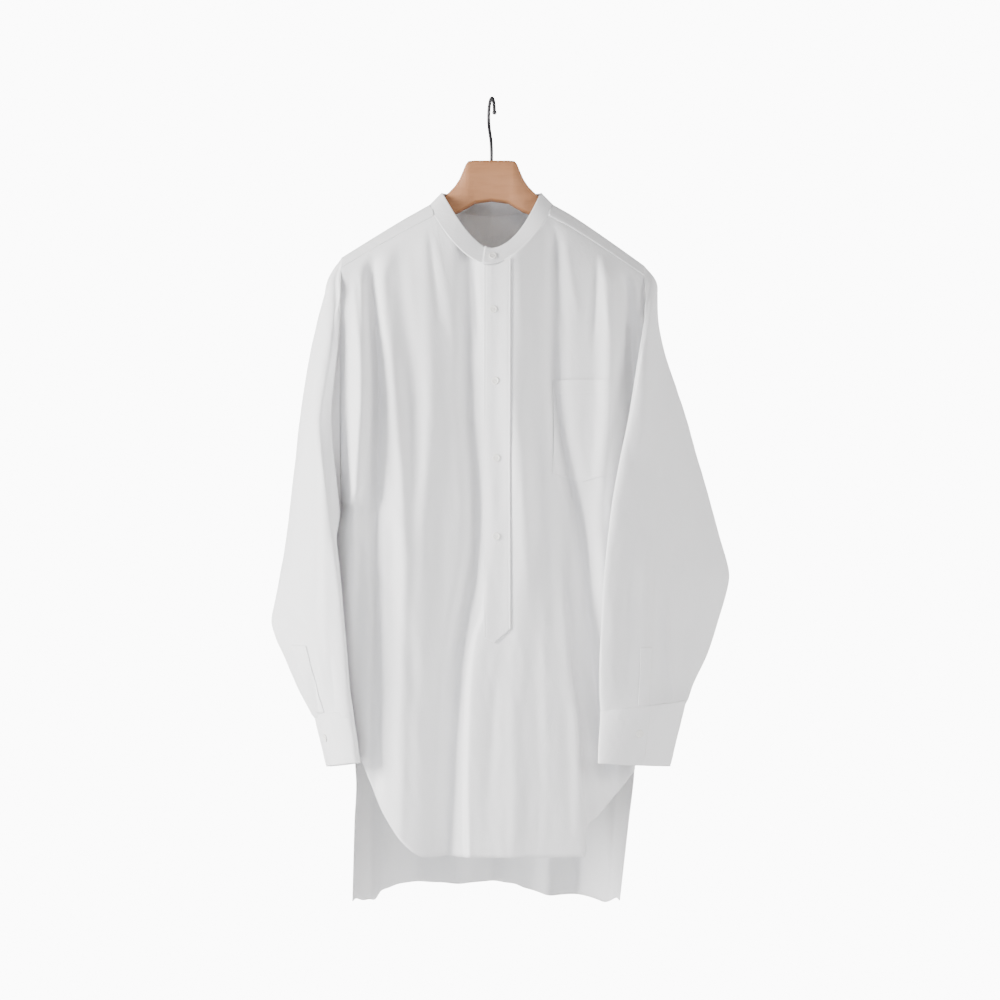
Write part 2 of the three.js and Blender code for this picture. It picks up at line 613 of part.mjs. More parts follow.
for (const [name, side] of [['left', -1], ['right', 1]]) {
  const grid = sleeveGrid(side, sleeves[name]);
  addPiece(`sleeve_${name}`, wallGeometry(grid), materials.cotton);
  addPiece(`cuff_${name}`, wallGeometry(cuffGrid(side, cuffs[name]), cuffWall), materials.cotton);
  const last = sleeves[name][sleeves[name].length - 1].z;
  const rows = [armholeTop, ...sleeveRows, last];
  const stripColumns = columnRange(sleeveShares, sleeveOpening.from, sleeveOpening.to);
  const isEnd = (k) => k === 0 || k === stripColumns.length - 1;
  const first = stripColumns.map((i, k) => (isEnd(k) ? sleeveOpening.corner : sleeveOpening.top));
  const strip = overlay(grid, rows, stripColumns, first, stripColumns.map(() => last), -side * layOn);
  addPiece(`sleeve_placket_${name}`, strip, materials.cotton);
}

// Buttons: flat discs with a raised rim
const buttonSides = 12;

function addButton(name, point, facing, lift) {
  const radius = buttonDiameter / 2;
  const half = buttonThickness / 2;
  const profile = [
    [0, -half],
    [radius, -half * buttonRim.side],
    [radius - buttonRim.edge, half],
    [radius - buttonRim.inner, half * buttonRim.dish],
    [0, half * buttonRim.dish],
  ].map(([x, y]) => new THREE.Vector2(x, y));
  const mesh = addPiece(name, new THREE.LatheGeometry(profile, buttonSides), materials.button);
  mesh.quaternion.setFromUnitVectors(new THREE.Vector3(0, 1, 0), facing);
  mesh.position.copy(point).addScaledVector(facing, lift + seamGap + half);
}

const frontSurface = (x, z) => bodyPoint(frontFall, frontFolds, -1, acrossAt(x, z), z);
const slopeReach = 6;

buttonHeights.forEach((z, i) => {
  const rise = frontSurface(buttonX, z + slopeReach).sub(frontSurface(buttonX, z - slopeReach));
  const facing = new THREE.Vector3(1, 0, 0).cross(rise).normalize().negate();
  if (facing.y > 0) facing.negate();
  addButton(`button_${i + 1}`, frontSurface(buttonX, z), facing, layOn + halfWall + buttonSeat.placket);
});

function facingOf(low, high, beside) {
  return high.clone().sub(low).cross(beside.clone().sub(low)).normalize();
}

const bandButton = { angle: 3, beside: -2, down: 0.5, above: 0.3, below: 0.7 };
const bandFacing = facingOf(
  bandPoint(bandButton.angle, bandButton.below),
  bandPoint(bandButton.angle, bandButton.above),
  bandPoint(bandButton.beside, bandButton.down),
);
const bandSpot = bandPoint(bandButton.angle, bandButton.down);
addButton('button_band', bandSpot, bandFacing, layOn + halfWall + buttonSeat.band);

const cuffButton = { angle: 86, beside: 92, down: 0.45 };

for (const [name, side] of [['left', -1], ['right', 1]]) {
  const { top, bottom } = cuffs[name];
  const low = ringPoint(bottom, side, cuffButton.angle);
  const high = ringPoint(top, side, cuffButton.angle);
  const facing = facingOf(low, high, ringPoint(bottom, side, cuffButton.beside)).multiplyScalar(side);
  const lift = cuffWall + cuffWall / 2 + seamGap + buttonSeat.cuff;
  addButton(`button_cuff_${name}`, high.lerp(low, cuffButton.down), facing, lift);
}

// Hanger: lofted across from end to end. The crown follows the cloth that rests on it.
const hangerRows = [
  { x: 0, top: -79.4, bottom: -131.6, half: 11, crown: 0 },
  { x: 22, top: -79.4, bottom: -134.6, half: 11, crown: 0 },
  { x: 30, top: -80.2, bottom: -138.6, half: 11, crown: 0 },
  { x: 33.5, top: -84.5, bottom: -140.6, half: 11, crown: 0 },
  { x: 37, top: -93, bottom: -142.6, half: 11, crown: 0 },
  { x: 41.5, top: -103.5, bottom: -144.8, half: 11, crown: 0 },
  { x: 47.5, top: -112.5, bottom: -147.4, half: 11, crown: 0.1 },
  { x: 55, top: -120, bottom: -150.2, half: 11, crown: 0.3 },
  { x: 65, top: -128.5, bottom: -153, half: 11.5, crown: 0.7 },
];
const armRows = [
  { x: 76, thick: 17, half: 12 },
  { x: 95, thick: 17, half: 12.5 },
  { x: 120, thick: 20, half: 14 },
  { x: 148, thick: 24, half: 18 },
  { x: 172, thick: 26, half: 20 },
  { x: 185, thick: 24, half: 19 },
  { x: 190, thick: 15, half: 14 },
];
const hangerClear = { arm: 0.5, inNeck: 2.5 };
const hangerCorner = [0, 0, 0.2, 0.9, 3];
const crownRound = { cloth: 1.12, edge: 0.12 };
const crownShares = [0, 0.28, 0.55, 0.8, 1];
const endDrop = 4;

// How far below its top the hanger's section lies at a share of its half depth
function crownDrop(row, k) {
  const y = row.half * crownShares[k];
  const cloth = -frontFall.over * Math.log(1 - (y / frontFall.reach) ** 2);
  return lerp(hangerCorner[k], cloth * crownRound.cloth + y * crownRound.edge, row.crown);
}

function hangerRing(row, side) {
  const last = crownShares.length - 1;
  const at = (k, toward, z) => new THREE.Vector3(side * row.x, toward * row.half * crownShares[k], z);
  const topLine = (toward) => crownShares.map((share, k) => at(k, toward, row.top - crownDrop(row, k)));
  const lowLine = (toward) => crownShares.map((share, k) => at(k, toward, row.bottom + hangerCorner[k]));
  return [
    ...topLine(-1).reverse(), ...topLine(1).slice(1),
    ...lowLine(1).reverse(), ...lowLine(-1).slice(1, last + 1),
  ];
}

function signedVolume(positions, faces) {
  const point = (i) => new THREE.Vector3().fromArray(positions, faces[i] * 3);
  let volume = 0;
  for (let i = 0; i < faces.length; i += 3) {
    volume += point(i).dot(point(i + 1).cross(point(i + 2))) / 6;
  }
  return volume;
}

// A closed solid through rings of points, with its ends closed on their middles
function loftGeometry(rings) {
  const count = rings[0].length;
  const middle = (ring) => ring.reduce((sum, p) => sum.add(p), new THREE.Vector3()).divideScalar(count);
  const points = [...rings.flat(), middle(rings[0]), middle(rings[rings.length - 1])];
  const faces = [];
  const first = rings.length * count;
  rings.forEach((ring, i) => ring.forEach((_, j) => {
    const next = (j + 1) % count;
    if (i < rings.length - 1) {
      const [a, b, c, d] = [i * count + j, i * count + next, (i + 1) * count + next, (i + 1) * count + j];
      faces.push(a, b, c, a, c, d);
    }
    if (i === 0) faces.push(first, next, j);
    if (i === rings.length - 1) faces.push(first + 1, i * count + j, i * count + next);
  }));
  const positions = points.flatMap((p) => p.toArray());
  if (signedVolume(positions, faces) < 0) faces.reverse();
  const geometry = new THREE.BufferGeometry();
  geometry.setAttribute('position', new THREE.Float32BufferAttribute(positions, 3));
  geometry.setIndex(faces);
  return geometry;
}

const arms = armRows.map(({ x, thick, half }, i) => {
  const clear = x < neckHalfWidth ? hangerClear.inNeck : hangerClear.arm;
  const top = ridge(x) - clear - (i === armRows.length - 1 ? endDrop : 0);
  return { x, top, bottom: top - thick, half, crown: 1 };
});
const halfHanger = [...hangerRows, ...arms];
const hangerRings = [
  ...halfHanger.slice(1).reverse().map((row) => hangerRing(row, -1)),
  ...halfHanger.map((row) => hangerRing(row, 1)),
];
addPiece('hanger', loftGeometry(hangerRings), materials.wood);

// Hook: a straight wire up from the hanger that bends back, over the top and down to its tip in front
const wireRadius = 2;
const hookRadius = 22;
const hookFoot = -79.1;
const hookLead = [
  new THREE.Vector3(0, 0, hookFoot), new THREE.Vector3(0, 0, -66), new THREE.Vector3(0, 4, -52),
  new THREE.Vector3(0, 14, -39),
];
const hookTurns = spread(-20, 174, 14);
const hookTwist = 10;
const hookMiddle = wireRadius - hookRadius;
const hookArc = hookTurns.map((turn) => new THREE.Vector3(
  0, hookRadius * Math.cos(radians(turn)), hookMiddle + hookRadius * Math.sin(radians(turn))));
const hookPath = new THREE.CatmullRomCurve3([...hookLead, ...hookArc]);
const wireSides = 10;
const hookSteps = 40;

function wireRing(t) {
  const along = hookPath.getTangentAt(t);
  const across = new THREE.Vector3(1, 0, 0);
  const up = along.clone().cross(across);
  return spread(0, 360, wireSides).slice(1).map((turn) => hookPath.getPointAt(t)
    .addScaledVector(across, wireRadius * Math.cos(radians(turn)))
    .addScaledVector(up, wireRadius * Math.sin(radians(turn))));
}

const hook = addPiece('hook', loftGeometry(spread(0, 1, hookSteps).map(wireRing)), materials.wire);
hook.rotation.z = radians(hookTwist);
const tipRadius = 2.8;
const tip = addPiece('hook_tip', new THREE.SphereGeometry(tipRadius, 12, 8), materials.wire);
tip.position.copy(hookPath.getPointAt(1)).addScaledVector(hookPath.getTangentAt(1), tipRadius + seamGap);
tip.position.applyAxisAngle(new THREE.Vector3(0, 0, 1), radians(hookTwist));

export default shirt;
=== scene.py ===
import math

import bmesh
import bpy
import numpy as np
from mathutils import Matrix, Vector


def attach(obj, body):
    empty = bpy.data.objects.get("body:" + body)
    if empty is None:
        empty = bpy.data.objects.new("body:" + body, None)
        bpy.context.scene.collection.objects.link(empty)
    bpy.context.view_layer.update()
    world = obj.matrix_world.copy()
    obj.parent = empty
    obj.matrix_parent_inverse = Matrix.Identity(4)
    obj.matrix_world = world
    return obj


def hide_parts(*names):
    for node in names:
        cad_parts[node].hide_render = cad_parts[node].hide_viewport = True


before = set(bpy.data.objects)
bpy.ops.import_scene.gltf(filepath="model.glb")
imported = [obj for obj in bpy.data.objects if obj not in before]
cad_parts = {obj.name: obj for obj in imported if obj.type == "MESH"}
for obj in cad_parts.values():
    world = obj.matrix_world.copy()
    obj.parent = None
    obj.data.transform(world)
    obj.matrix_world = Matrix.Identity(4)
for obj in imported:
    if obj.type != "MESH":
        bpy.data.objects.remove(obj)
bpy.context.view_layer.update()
print("frame loaded")

mm = 0.001                      # the shapes below are worked out in millimetres


# Camera, stage and light

def newMaterial(name):
    material = bpy.data.materials.new(name)
    material.use_nodes = True
    return material, material.node_tree.nodes, material.node_tree.links


def plainMaterial(name, values):
    material, nodes, links = newMaterial(name)
    setInputs(nodes["Principled BSDF"], values)
    return material


def setInputs(node, values):
    for socket, value in values.items():
        node.inputs[socket].default_value = value
    return node


def mixForCamera(nodes, links, plain, bright, surface):      # only the camera sees bright
    path = nodes.new("ShaderNodeLightPath")
    blend = nodes.new("ShaderNodeMixShader")
    links.new(path.outputs["Is Camera Ray"], blend.inputs["Fac"])
    links.new(plain, blend.inputs[1])
    links.new(bright, blend.inputs[2])
    links.new(blend.outputs["Shader"], surface)


def linkNew(name, data):
    thing = bpy.data.objects.new(name, data)
    bpy.context.scene.collection.objects.link(thing)
    return thing


def meshObject(name, mesh, material=None):
    data = bpy.data.meshes.new(name)
    mesh.to_mesh(data)
    mesh.free()
    if material:
        data.materials.append(material)
    return linkNew(name, data)


def finishedPiece(name, mesh, material):
    for face in mesh.faces:
        face.smooth = True
    piece = meshObject(name, mesh, material)
    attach(piece, "root")
    return piece


camera = {"x": 11.05, "y": -3000.0, "z": -520.0, "lens": 83.08}

cameraData = bpy.data.cameras.new("camera")
cameraData.lens = camera["lens"]
cameraData.sensor_width = 36
cameraData.clip_end = 60
cameraObject = linkNew("camera", cameraData)
cameraObject.location = Vector((camera["x"], camera["y"], camera["z"])) * mm
cameraObject.rotation_euler = (math.radians(90), 0, 0)
bpy.context.scene.camera = cameraObject

stage = {"floor": -1.32, "reach": 14.0, "seen": 11.0}

floorMesh = bmesh.new()
bmesh.ops.create_circle(floorMesh, cap_ends=True, segments=64, radius=stage["reach"])
bmesh.ops.translate(floorMesh, verts=floorMesh.verts, vec=(0, 0, stage["floor"]))
floorMaterial, nodes, links = newMaterial("palePaper")
paper = setInputs(nodes["Principled BSDF"], {"Base Color": (0.9, 0.9, 0.9, 1), "Roughness": 0.95})
glow = setInputs(nodes.new("ShaderNodeEmission"), {"Strength": stage["seen"]})
mixForCamera(
    nodes, links, paper.outputs["BSDF"], glow.outputs["Emission"],
    nodes["Material Output"].inputs["Surface"])
floor = meshObject("floor", floorMesh, floorMaterial)

studio = {
    "seen": 11.0, "fill": 0.16, "fillColour": (0.965, 0.975, 1.0, 1),
    "window": {"at": (-2.75, -0.85, 0.1), "size": 1.3, "power": 265, "colour": (1.0, 0.985, 0.965)},
    "right": {"at": (2.2, -1.2, -0.2), "size": 1.1, "power": 50, "colour": (1.0, 0.985, 0.97)},
    "low": {"at": (-0.9, -2.2, -1.0), "size": 0.9, "power": 13, "colour": (0.82, 0.89, 1.0)},
    "front": {"at": (0.1, -3.0, 0.6), "size": 0.8, "power": 25, "colour": (1.0, 0.95, 0.91)},
    "back": {"at": (1.8, 2.0, 0.2), "size": 2.2, "power": 40, "colour": (0.97, 0.98, 1.0)},
}

world = bpy.data.worlds.new("studio")
bpy.context.scene.world = world
world.use_nodes = True
nodes, links = world.node_tree.nodes, world.node_tree.links
room = setInputs(nodes["Background"], {"Color": studio["fillColour"], "Strength": studio["fill"]})
seen = setInputs(nodes.new("ShaderNodeBackground"), {"Color": (1, 1, 1, 1), "Strength": studio["seen"]})
mixForCamera(
    nodes, links, room.outputs["Background"], seen.outputs["Background"],
    nodes["World Output"].inputs["Surface"])


def addLight(name, settings):
    light = bpy.data.lights.new(name, "AREA")
    light.shape = "SQUARE"
    light.size = settings["size"]
    light.energy = settings["power"]
    light.color = settings["colour"]
    thing = linkNew(name, light)
    thing.location = settings["at"]
    toShirt = Vector((0, 0, camera["z"] * mm)) - Vector(settings["at"])
    thing.rotation_euler = toShirt.to_track_quat("-Z", "Y").to_euler()


for name in ("window", "right", "low", "front", "back"):
    addLight(name, studio[name])
print("camera, stage and light are in place")


# Tables of sizes by height, and reading them

def table(columns, rows):
    return [dict(zip(columns.split(), row)) for row in rows]


def readAt(rows, key, z):                 # a smooth curve through one column
    heights = np.array([row["z"] for row in rows], float)
    values = np.array([row[key] for row in rows], float)
    slopes = np.r_[
        (values[1] - values[0]) / (heights[1] - heights[0]),
        (values[2:] - values[:-2]) / (heights[2:] - heights[:-2]),
        (values[-1] - values[-2]) / (heights[-1] - heights[-2])]
    z = np.clip(np.asarray(z, float), heights[-1], heights[0])
    k = np.clip(np.searchsorted(-heights, -z, side="right") - 1, 0, len(heights) - 2)
    step = heights[k + 1] - heights[k]
    t = (z - heights[k]) / step
    return (values[k] * (2 * t**3 - 3 * t**2 + 1) + values[k + 1] * (3 * t**2 - 2 * t**3)
            + slopes[k] * step * (t**3 - 2 * t**2 + t) + slopes[k + 1] * step * (t**3 - t**2))


def ease(t):
    t = np.clip(t, 0, 1)
    return t * t * (3 - 2 * t)


def mix(a, b, t):
    return a + (b - a) * t


def ripplesAt(ripples, x, z, side):       # soft uneven noise, from sums of turned sines
    total = np.zeros(np.broadcast(x, z).shape)
    turns = np.random.default_rng(ripples["seed"][side])
    for layer in range(3):
        scale = 1.0 / (1 + 0.85 * layer)
        longX, longZ = ripples["across"] * scale, ripples["down"] * scale
        for _ in range(3):
            angle = turns.uniform(-0.5, 0.5)
            along = x * math.cos(angle) / longX + z * math.sin(angle) / (longX * 3)
            total += scale * np.sin(6.283 * along + turns.uniform(0, 6.3)) * np.cos(
                6.283 * (z / longZ) + turns.uniform(0, 6.3))
    return ripples["height"] * (total / 3)


# The body of the shirt: where the cloth hangs

sideNames = {-1: "left", 1: "right"}      # as the photo shows them
body = {
    "foldDepth": {-1: 1.6, 1: 1.0}, "foldsOver": {-1: 40, 1: 50}, "sideFade": 0.1,
    "neckHalfWidth": 81, "neckSideHeight": -138, "shoulderSlope": 0.56,
    "armholeTop": -213, "armholeBottom": -522, "armhole": {"left": -195, "right": 199},
    "neckFrontDrop": 81, "neckBackDrop": 8, "neckCurve": 1.9,
    "yokeAngle": 68, "frontSeamNeck": 19, "frontSeamArm": 14, "backSeam": -235,
    "frontHem": -970, "backHem": -1038, "sideRound": 6, "cloth": 0.9, "cadWall": 1.5,
}
shoulderEnd = {"left": {"from": 110, "over": 90, "drop": 5}, "right": {"from": 100, "over": 98, "drop": 13}}
bodyRipples = {"height": 0.55, "across": 34, "down": 260, "seed": {-1: 3, 1: 4}}
frontFall = {"reach": 78, "over": 150, "spread": 14}
backFall = {"reach": 74, "over": 150, "spread": 38}
sides = table("z left right", [
    (-213, -195, 199), (-400, -195, 199), (-522, -195, 199), (-560, -204, 199), (-620, -200, 198),
    (-676, -195, 197), (-740, -190, 194), (-880, -176, 185), (-940, -178, 178), (-1055, -181, 165),
])
hem = {
    "left": {"start": -82, "end": -178, "side": -825, "power": 1.75},
    "right": {"start": 79, "end": 184, "side": -868, "power": 1.1},
    "flap": -966,
    "back": [
        (-182, -1040), (-177, -1045), (-171, -1053), (-155, -1056), (-151, -1045), (-145, -1040),
        (-127, -1036.5), (4, -1035), (31, -1037.5), (43, -1043), (77, -1051), (150, -1054),
        (158, -1050), (166, -1040)],
}
hemFold = {"height": 9, "over": 1.5, "out": 0.35}     # the turned-up edge, a little thicker

# Each fold: where it runs at five heights, how far it stands out or in there, and its half width
foldHeights = [-240, -400, -560, -740, -960]
frontFolds = {
    "armFlap": ([-169, -165, -176, -182, -176], [4, 11, 8, 6, 3], 9),
    "armValley": ([-154, -143, -146, -144, -148], [-6, -11, -9, -7, -5], 9),
    "chestRidge": ([-136, -121, -110, -112, -116], [4, 8, 7, 5, 4], 12),
    "dragRidge": ([-84, -77, -87, -90, -96], [2, 6, 6, 4, 3], 15),
    "openingValley": ([-29, -27, -19, -44, -56], [-7, -10, -10, -12, -10], 13),
    "openingRidge": ([31, 31, 40, 34, 24], [4, 8, 7, 2, 2], 18),
    "chestValley": ([80, 84, 112, 130, 162], [-7, -12, -13, -11, -8], 12),
    "pocketRidge": ([152, 149, 140, 158, 150], [6, 8, 6, 4, 2], 13),
    "sideValley": ([173, 182, 168, 178, 164], [-6, -10, -8, -5, -3], 9),
}
backFolds = {
    "leftFlap": ([-178, -176, -172, -166, -166], [2, 6, 8, 10, 12], 10),
    "leftValley": ([-150, -148, -146, -140, -142], [-4, -9, -12, -14, -16], 12),
    "leftRidge": ([-112, -108, -112, -104, -100], [3, 7, 9, 10, 12], 17),
    "innerValley": ([-62, -66, -58, -52, -44], [-3, -7, -9, -12, -14], 15),
    "centreRidge": ([-8, -6, 2, 6, 2], [3, 6, 9, 10, 9], 16),
    "centreValley": ([46, 50, 54, 66, 76], [-3, -8, -10, -13, -16], 14),
    "rightRidge": ([102, 100, 106, 112, 116], [3, 7, 9, 10, 12], 17),
    "rightValley": ([148, 146, 148, 150, 152], [-4, -9, -11, -12, -13], 12),
    "rightFlap": ([180, 180, 178, 174, 170], [2, 6, 8, 8, 8], 10),
}
pleat = table("z left right out", [
    (-600, -9, 90, 0), (-660, -11, 95.5, 7), (-693, -22, 98.5, 12), (-738, -28.5, 102, 17),
    (-802, -32, 109, 22), (-884, -33, 115, 26), (-970, -31, 120.5, 29),
])
pleatEdge = 1.1
pleatColumn = {"left": -5, "right": 95.5}     # the two columns of the front that follow the pleat's edges

# The loose fold beside the left armhole: cloth on its left stands out from its edge
armFold = table("z x out", [
    (-250, -154, 0), (-300, -150, 2.5), (-350, -146, 5), (-432, -153, 6.5), (-500, -161, 7),
    (-522, -174, 6), (-545, -190, 3), (-570, -200, 0),
])
armFoldEdge = 1.3

# Smaller creases, each a soft line: its start's x and z, its end's x and z, depth, half width
frontCreases = [
    (-172, -232, -164, -330, -2.6, 4), (-160, -228, -149, -300, 2.4, 4), (-132, -214, -128, -330, -1.6, 6),
    (-106, -204, -92, -380, 1.4, 8), (-80, -172, -66, -300, -2.0, 5), (-70, -190, -44, -330, 1.6, 7),
    (-22, -222, -16, -330, -2.2, 3.5), (34, -214, 52, -420, 1.6, 8), (80, -176, 96, -330, -2.2, 5),
    (92, -182, 112, -300, 2.0, 6), (136, -206, 130, -330, -2.8, 4.5), (141, -210, 150, -320, 2.2, 5),
    (-150, -420, -100, -620, 1.8, 8), (-186, -560, -120, -650, -1.8, 7), (-120, -640, -66, -880, -1.5, 10),
    (-144, -700, -138, -940, 1.6, 9), (-24, -500, -18, -700, -2.0, 5), (38, -420, 52, -700, 1.8, 9),
    (60, -560, 72, -900, 2.2, 10), (8, -720, -8, -960, -1.6, 8), (24, -740, 34, -965, 1.5, 9),
    (92, -760, 98, -965, -1.7, 7), (150, -560, 118, -700, 1.5, 8), (178, -600, 150, -760, -2.0, 8),
    (104, -500, 140, -640, -1.4, 6),
]
backCreases = [
    (-130, -240, -124, -380, -1.8, 6), (-84, -240, -88, -420, 1.8, 7), (-30, -238, -34, -360, -2.0, 5),
    (22, -238, 26, -400, 1.8, 6), (76, -240, 74, -380, -1.8, 6), (126, -240, 122, -360, 1.8, 6),
    (-170, -520, -90, -640, 1.8, 9), (176, -520, 100, -660, 1.8, 9), (-20, -560, -28, -860, -2.0, 9),
    (30, -620, 36, -1000, 1.8, 10), (-74, -700, -70, -1030, 1.8, 9), (92, -740, 90, -1030, -1.8, 9),
]


def foldsAt(folds, x, z):
    total = np.zeros(np.shape(x))
    for places, outs, half in folds.values():
        rows = table("z x out", zip(foldHeights, places, outs))
        away = (x - readAt(rows, "x", z)) / half
        total = total + readAt(rows, "out", z) * np.exp(-away * away)
    return total


def creasesAt(creases, x, z):
    total = np.zeros(np.shape(x))
    for startX, startZ, endX, endZ, deep, half in creases:
        runX, runZ = endX - startX, endZ - startZ
        long = np.hypot(float(runX), float(runZ))
        t = ((x - startX) * runX + (z - startZ) * runZ) / long**2
        away = ((x - startX) * runZ - (z - startZ) * runX) / long / half
        ends = ease((t + 0.08) / 0.3) * ease((1.08 - t) / 0.45)
        total = total + deep * ends * np.exp(-away * away)
    return total


def stepDown(past, edge):                 # 1 before an edge, 0 past it
    return 1 / (1 + np.exp(np.clip(past / edge, -40, 40)))


def armFoldAt(x, z):
    return readAt(armFold, "out", z) * stepDown(x - readAt(armFold, "x", z), armFoldEdge)


def pleatAt(x, z):
    rise = stepDown(readAt(pleat, "left", z) - x, pleatEdge)
    drop = stepDown(x - readAt(pleat, "right", z), pleatEdge)
    return readAt(pleat, "out", z) * (rise + drop - 1)


def ridge(x):
    out = np.abs(x)
    left, right = (
        end["drop"] * np.maximum((out - end["from"]) / end["over"], 0) ** 1.25
        for end in (shoulderEnd["left"], shoulderEnd["right"]))
    straight = body["neckSideHeight"] - body["shoulderSlope"] * (out - body["neckHalfWidth"])
    return straight - np.where(np.asarray(x) < 0, left, right)


def fall(shape, drop):
    return shape["reach"] * np.sqrt(1 - np.exp(-np.maximum(drop, 0) / shape["over"]))


def sideShare(z):
    down = np.clip((body["armholeTop"] - z) / (body["armholeTop"] - body["armholeBottom"]), 0, 1)
    turned = ease((body["armholeTop"] - z - body["frontSeamArm"]) / 80)
    return (1 - 0.2 * turned) * np.sqrt(1 - down**3)


def placeOf(across, z):
    return mix(readAt(sides, "left", z), readAt(sides, "right", z), (across + 1) / 2)


def bodySurface(toward, across, z):      # toward: -1 the front, 1 the back; across: -1 to 1
    shape = frontFall if toward < 0 else backFall
    folds = frontFolds if toward < 0 else backFolds
    creases = frontCreases if toward < 0 else backCreases
    x = placeOf(across, z)
    share = sideShare(z)
    edge = np.abs(across)
    bulge = share + (1 - share) * np.sqrt(np.maximum(1 - edge ** body["sideRound"], 0))
    lower = ease((body["armholeTop"] - z) / (body["armholeTop"] - body["backHem"]))
    below = ridge(x) - z - body["frontSeamNeck"] if toward < 0 else body["backSeam"] - z
    below = below / body["foldsOver"][toward]
    fade = ease((1 - edge) / body["sideFade"])
    loose = pleatAt(x, z) + armFoldAt(x, z) if toward < 0 else 0
    folded = (body["foldDepth"][toward] * foldsAt(folds, x, z) + loose) * ease(below)
    folded = folded + creasesAt(creases, x, z) * ease(below * 3.5 + 0.15)
    folded = folded + ripplesAt(bodyRipples, x, z, toward) * ease((-z - 200) / 300)
    depth = (fall(shape, ridge(x) - z) + shape["spread"] * lower) * bulge + folded * fade
    return np.stack([x, toward * (depth + body["cadWall"] / 2), z + 0 * x], axis=-1)


def acrossAt(x, z):
    left, right = readAt(sides, "left", z), readAt(sides, "right", z)
    return np.clip(2 * (x - left) / (right - left) - 1, -1, 1)


def neckHeight(angle):
    side = np.abs(np.sin(angle))
    front = body["neckFrontDrop"] * (1 - side ** body["neckCurve"])
    back = body["neckBackDrop"] * (1 - side**2)
    return body["neckSideHeight"] - np.where(np.cos(angle) > 0, front, back)


yokeNeckX = body["neckHalfWidth"] * math.sin(math.radians(body["yokeAngle"]))


def frontTop(x):
    out = np.abs(x)
    neck = neckHeight(np.arcsin(np.clip(out / body["neckHalfWidth"], 0, 1)))
    arm = np.where(x < 0, -body["armhole"]["left"], body["armhole"]["right"])
    t = (out - yokeNeckX) / (arm - yokeNeckX)
    return np.where(out < yokeNeckX, neck, ridge(x) - mix(body["frontSeamNeck"], body["frontSeamArm"], t))


def frontBottom(x):
    x = np.asarray(x, float)
    low = []
    for curve in (hem["left"], hem["right"]):
        t = np.clip((x - curve["start"]) / (curve["end"] - curve["start"]), 0, 1)
        low.append(mix(body["frontHem"], curve["side"], t ** curve["power"]))
    low = np.where(x < 0, low[0], low[1])
    flap = pleatAt(x, body["frontHem"] + 0 * x) / pleat[-1]["out"]
    return mix(low, hem["flap"], flap)


def backBottom(x):
    places, heights = zip(*hem["back"])
    return sum(np.interp(x + step, places, heights) for step in (-3, -1.5, 0, 1.5, 3)) / 5


def columnPlace(column, z):               # how far across each of the front's columns hangs
    first, last = body["armhole"]["left"], body["armhole"]["right"]
    left, right = readAt(sides, "left", z), readAt(sides, "right", z)
    turned = ease((pleat[0]["z"] - z) / 60)
    a, b = (
        mix(mix(left, right, (pleatColumn[key] - first) / (last - first)), readAt(pleat, key, z), turned)
        for key in ("left", "right"))
    low, high = pleatColumn["left"], pleatColumn["right"]
    inside = mix(a, b, (column - low) / (high - low))
    inside = np.where(column < low, mix(left, a, (column - first) / (low - first)), inside)
    return np.where(column > high, mix(b, right, (column - high) / (last - high)), inside)


# Making a piece of cloth: a grid whose points are put in place, with its own lengths as its UV map

def normalsOf(points):
    du = np.gradient(points, axis=0)
    dv = np.gradient(points, axis=1)
    normals = np.cross(du, dv)
    return normals / np.maximum(np.linalg.norm(normals, axis=-1, keepdims=True), 1e-9)


def facing(points, outward):              # the grid's normals, turned towards one side
    normals = normalsOf(points)
    middle = normals.reshape(-1, 3).mean(axis=0)
    return normals if np.dot(middle, outward) > 0 else -normals


def turnedTo(outward, points, spot):      # the grid's normals, turned so that one points outward
    normals = normalsOf(points)
    return normals if np.dot(normals[spot], outward) > 0 else -normals


def lengthsAlong(points, axis):
    steps = np.linalg.norm(np.diff(points, axis=axis), axis=-1)
    total = np.cumsum(steps, axis=axis)
    zero = np.zeros_like(np.take(total, [0], axis=axis))
    return np.concatenate([zero, total], axis=axis)


def gridMesh(points):                     # a grid moved to these points, and which point each vertex took
    columns, rows = points.shape[:2]
    mesh = bmesh.new()
    bmesh.ops.create_grid(mesh, x_segments=columns - 1, y_segments=rows - 1, size=0.5)
    where = {
        vert.index: (round((vert.co.x + 0.5) * (columns - 1)), round((vert.co.y + 0.5) * (rows - 1)))
        for vert in mesh.verts}
    for vert in mesh.verts:
        vert.co = Vector(points[where[vert.index]]) * mm
    return mesh, where


def gridPiece(name, points, normals, thick):
    mesh, where = gridMesh(points)
    columns, rows = points.shape[:2]
    across = lengthsAlong(points, 0)
    across = across - across[columns // 2][None, :]
    along = lengthsAlong(points, 1)
    uvLayer = mesh.loops.layers.uv.new("cloth")
    for face in mesh.faces:
        for corner in face.loops:
            i, j = where[corner.vert.index]
            corner[uvLayer].uv = (across[i, j] * mm, -along[i, j] * mm)
    mesh.normal_update()
    mesh.faces.ensure_lookup_table()
    i, j = columns // 2, rows // 2
    centre = Vector(points[i, j]) * mm
    nearest = min(mesh.faces, key=lambda face: (face.calc_center_median() - centre).length)
    if nearest.normal.dot(Vector(normals[i, j])) < 0:
        bmesh.ops.reverse_faces(mesh, faces=mesh.faces)
    piece = finishedPiece(name, mesh, cotton)
    wall = piece.modifiers.new("thickness", "SOLIDIFY")
    wall.thickness = thick * mm
    wall.offset = 0
    wall.use_even_offset = False
    return piece


def resampled(values, between):           # more values between each pair of a list
    values = np.asarray(values, float)
    steps = np.arange(len(values) * between - between + 1) / between
    return np.interp(steps, np.arange(len(values)), values)


# Cloth material

